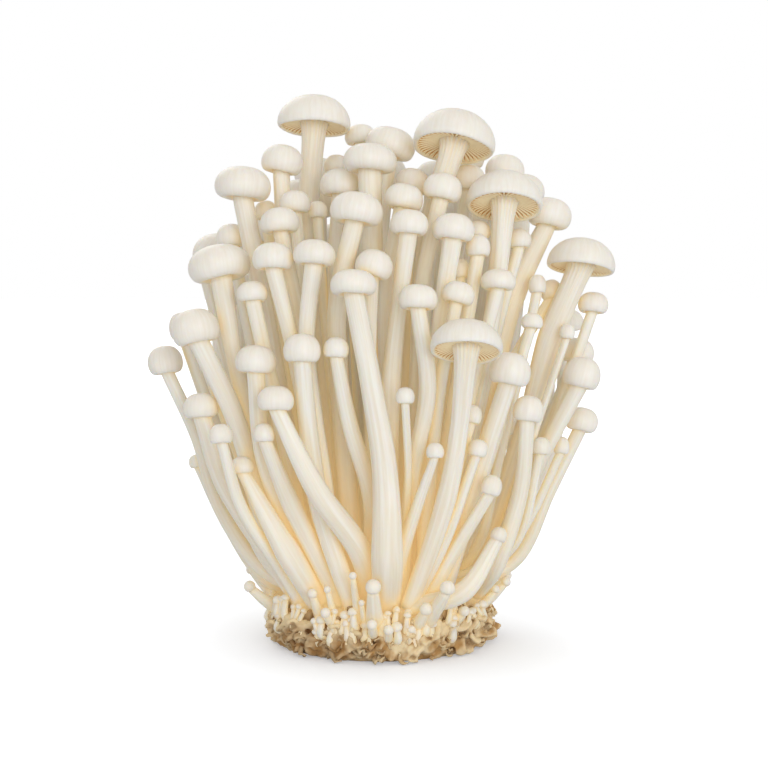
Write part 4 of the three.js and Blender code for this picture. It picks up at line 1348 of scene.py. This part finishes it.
@dataclass
class Bunch:
    """The whole bunch: its mushrooms, pins and mat."""

    frame: dict
    shop: PatternShop = field(default_factory=PatternShop)
    growths: list[Growth] = field(default_factory=list)
    pins: list[Growth] = field(default_factory=list)
    stub_count: int = 96
    stub_seed: int = 17
    browner_bearing: float = -2.15
    browner_width: float = 0.5

    def read(self) -> None:
        """Reads every mushroom and pin from the solids."""
        reader = SolidReader()
        for name, solid in sorted(self.frame["nodes"].items()):
            found = reader.read(name, solid)
            (self.pins if name == MAT_NODE else self.growths).extend(found)
        for index, growth in enumerate(self.growths + self.pins):
            growth.seed = 10 * index + 3
        log.info("read %d mushrooms and %d pins", len(self.growths), len(self.pins))

    def stubs(self) -> list[Growth]:
        """Lays out the tiny curved stubs that crowd round the foot of the bunch."""
        random = np.random.default_rng(self.stub_seed)
        found = []
        for index in range(self.stub_count):
            bearing = random.uniform(0, 2 * math.pi)
            low = random.uniform(4.0, 8.0) * MM
            # Every fourth one stands low down in front
            if index % 4 == 0:
                bearing = random.normal(-1.4, 0.45)
                low = random.uniform(1.9, 6.5) * MM
            out = np.array([math.cos(bearing), math.sin(bearing), 0.0])
            along = np.array([-out[1], out[0], 0.0])
            rise = random.uniform(2.6, 6.5) * MM
            bend = random.uniform(-1.6, 1.6) * MM
            far = random.uniform(27.0, 28.6) * MM
            root = out * 24.8 * MM + np.array([0, 0, low])
            elbow = out * far + along * bend + np.array([0, 0, low + rise * 0.35])
            neck = out * (far - random.uniform(-0.6, 1.4) * MM) + along * bend * 0.5
            neck = neck + np.array([0, 0, low + rise])
            width = random.uniform(0.4, 0.8) * MM
            axis = (neck - elbow) / np.linalg.norm(neck - elbow)
            found.append(Growth(
                node=MAT_NODE, path=np.array([root, elbow, neck]),
                radii=np.array([width * 1.8, width * 1.3, width]), axis=axis, low=neck,
                cap_radius=width * random.uniform(1.4, 2.1), cap_height=width * random.uniform(2.0, 2.9),
                form=CapForm.PIN, seed=5000 + 10 * index,
            ))
        return found

    def shade(self, pieces: list[Piece], mat: Piece) -> None:
        """Paints shade on each skin by how closely the others stand round it.

        Args:
            pieces: The pieces of flesh.
            mat: The mat.
        """
        crowding = Crowding([*pieces, mat])
        for piece in pieces:
            mesh = piece.data
            hemmed = smoothstep(0.14, 0.86, crowding.around(mesh, 2))
            heights = places_of(mesh)[:, 2]
            low = smoothstep(70 * MM, 15 * MM, heights)
            crown = smoothstep(88 * MM, 118 * MM, heights)
            # Painted shade: golden where the flesh is hemmed in, less so high on the crown, a little more
            # low down, on top of each part's own painted shade
            inner = number_of(mesh, "inner") * 0.6 + hemmed * (1 - 0.4 * crown) + low * 0.12
            set_number(mesh, "inner", np.clip(inner, 0, 1))
        mesh = mat.data
        hemmed = smoothstep(0.35, 0.8, crowding.around(mesh, 1))
        places = places_of(mesh)
        bearing, _ = polar(places)
        browner_side = np.exp(-((bearing - self.browner_bearing) / self.browner_width) ** 2)
        browner_side = browner_side * smoothstep(9 * MM, 6 * MM, places[:, 2])
        # Painted shade where the mat is hemmed in, on top of its own; the mat is also browner on one side
        # low down
        brown_and_painted_shade = number_of(mesh, "brown_and_painted_shade") * 0.5 + hemmed * 0.7 + browner_side * 0.4
        set_number(mesh, "brown_and_painted_shade", np.clip(brown_and_painted_shade, 0, 1))

    def build(self) -> None:
        """Makes every piece and lets it stand for its solid."""
        self.read()
        self.shop.build()
        # The third colour of each flesh is painted shade for where the bunch is crowded, and the last
        # number is the strength of its painted light
        stem = FleshFinish(
            "stem flesh", pale=(0.885, 0.86, 0.80), warm=(0.81, 0.75, 0.64), painted_shade_colour=(0.86, 0.70, 0.42),
            stretch=(1.15, 1.15, 0.04), bump=0.4, roughness=0.38, scatter=0.45, painted_glow=0.2,
        ).make()
        cap = FleshFinish(
            "cap flesh", pale=(0.875, 0.84, 0.785), warm=(0.835, 0.79, 0.715), painted_shade_colour=(0.85, 0.68, 0.40),
            stretch=(1.3, 1.3, 0.16), bump=0.4, roughness=0.34, scatter=0.35, painted_glow=0.18,
        ).make()
        gill = GillFinish().make()
        by_node: dict[str, list[Piece]] = {}
        for growth in self.growths:
            made = Mushroom(growth, self.shop, stem, cap, gill).build()
            by_node.setdefault(growth.node, []).extend(made)
        pieces = []
        for node, parts in by_node.items():
            piece = joined(f"{node}_flesh", parts)
            pieces.append(piece)
            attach(piece, "root")
            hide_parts(node)
        log.info("built %d clusters of mushrooms", len(by_node))
        pin_parts = []
        for pin in self.pins + self.stubs():
            pin_parts.extend(Mushroom(pin, self.shop, stem, cap, gill).build())
        pins = joined("pins", pin_parts)
        pieces.append(pins)
        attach(pins, "root")
        log.info("built the pins and stubs")
        places = places_of(self.frame["nodes"][MAT_NODE].data)
        sole = places[places[:, 2] < LEVEL_SLACK]
        centre = (sole.min(axis=0) + sole.max(axis=0)) / 2
        mat = MyceliumMat(centre).build(MatFinish().make())
        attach(mat, "root")
        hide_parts(MAT_NODE)
        log.info("built the mat with %d triangles", len(triangles_of(mat.data)))
        self.shade(pieces, mat)
        log.info("shaded %d pieces", len(pieces) + 1)


def main() -> None:
    """Builds the bunch and its studio."""
    logging.basicConfig(level=logging.INFO, format="%(message)s")
    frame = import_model()
    Bunch(frame).build()
    Studio().build()


if __name__ == "__main__":
    main()
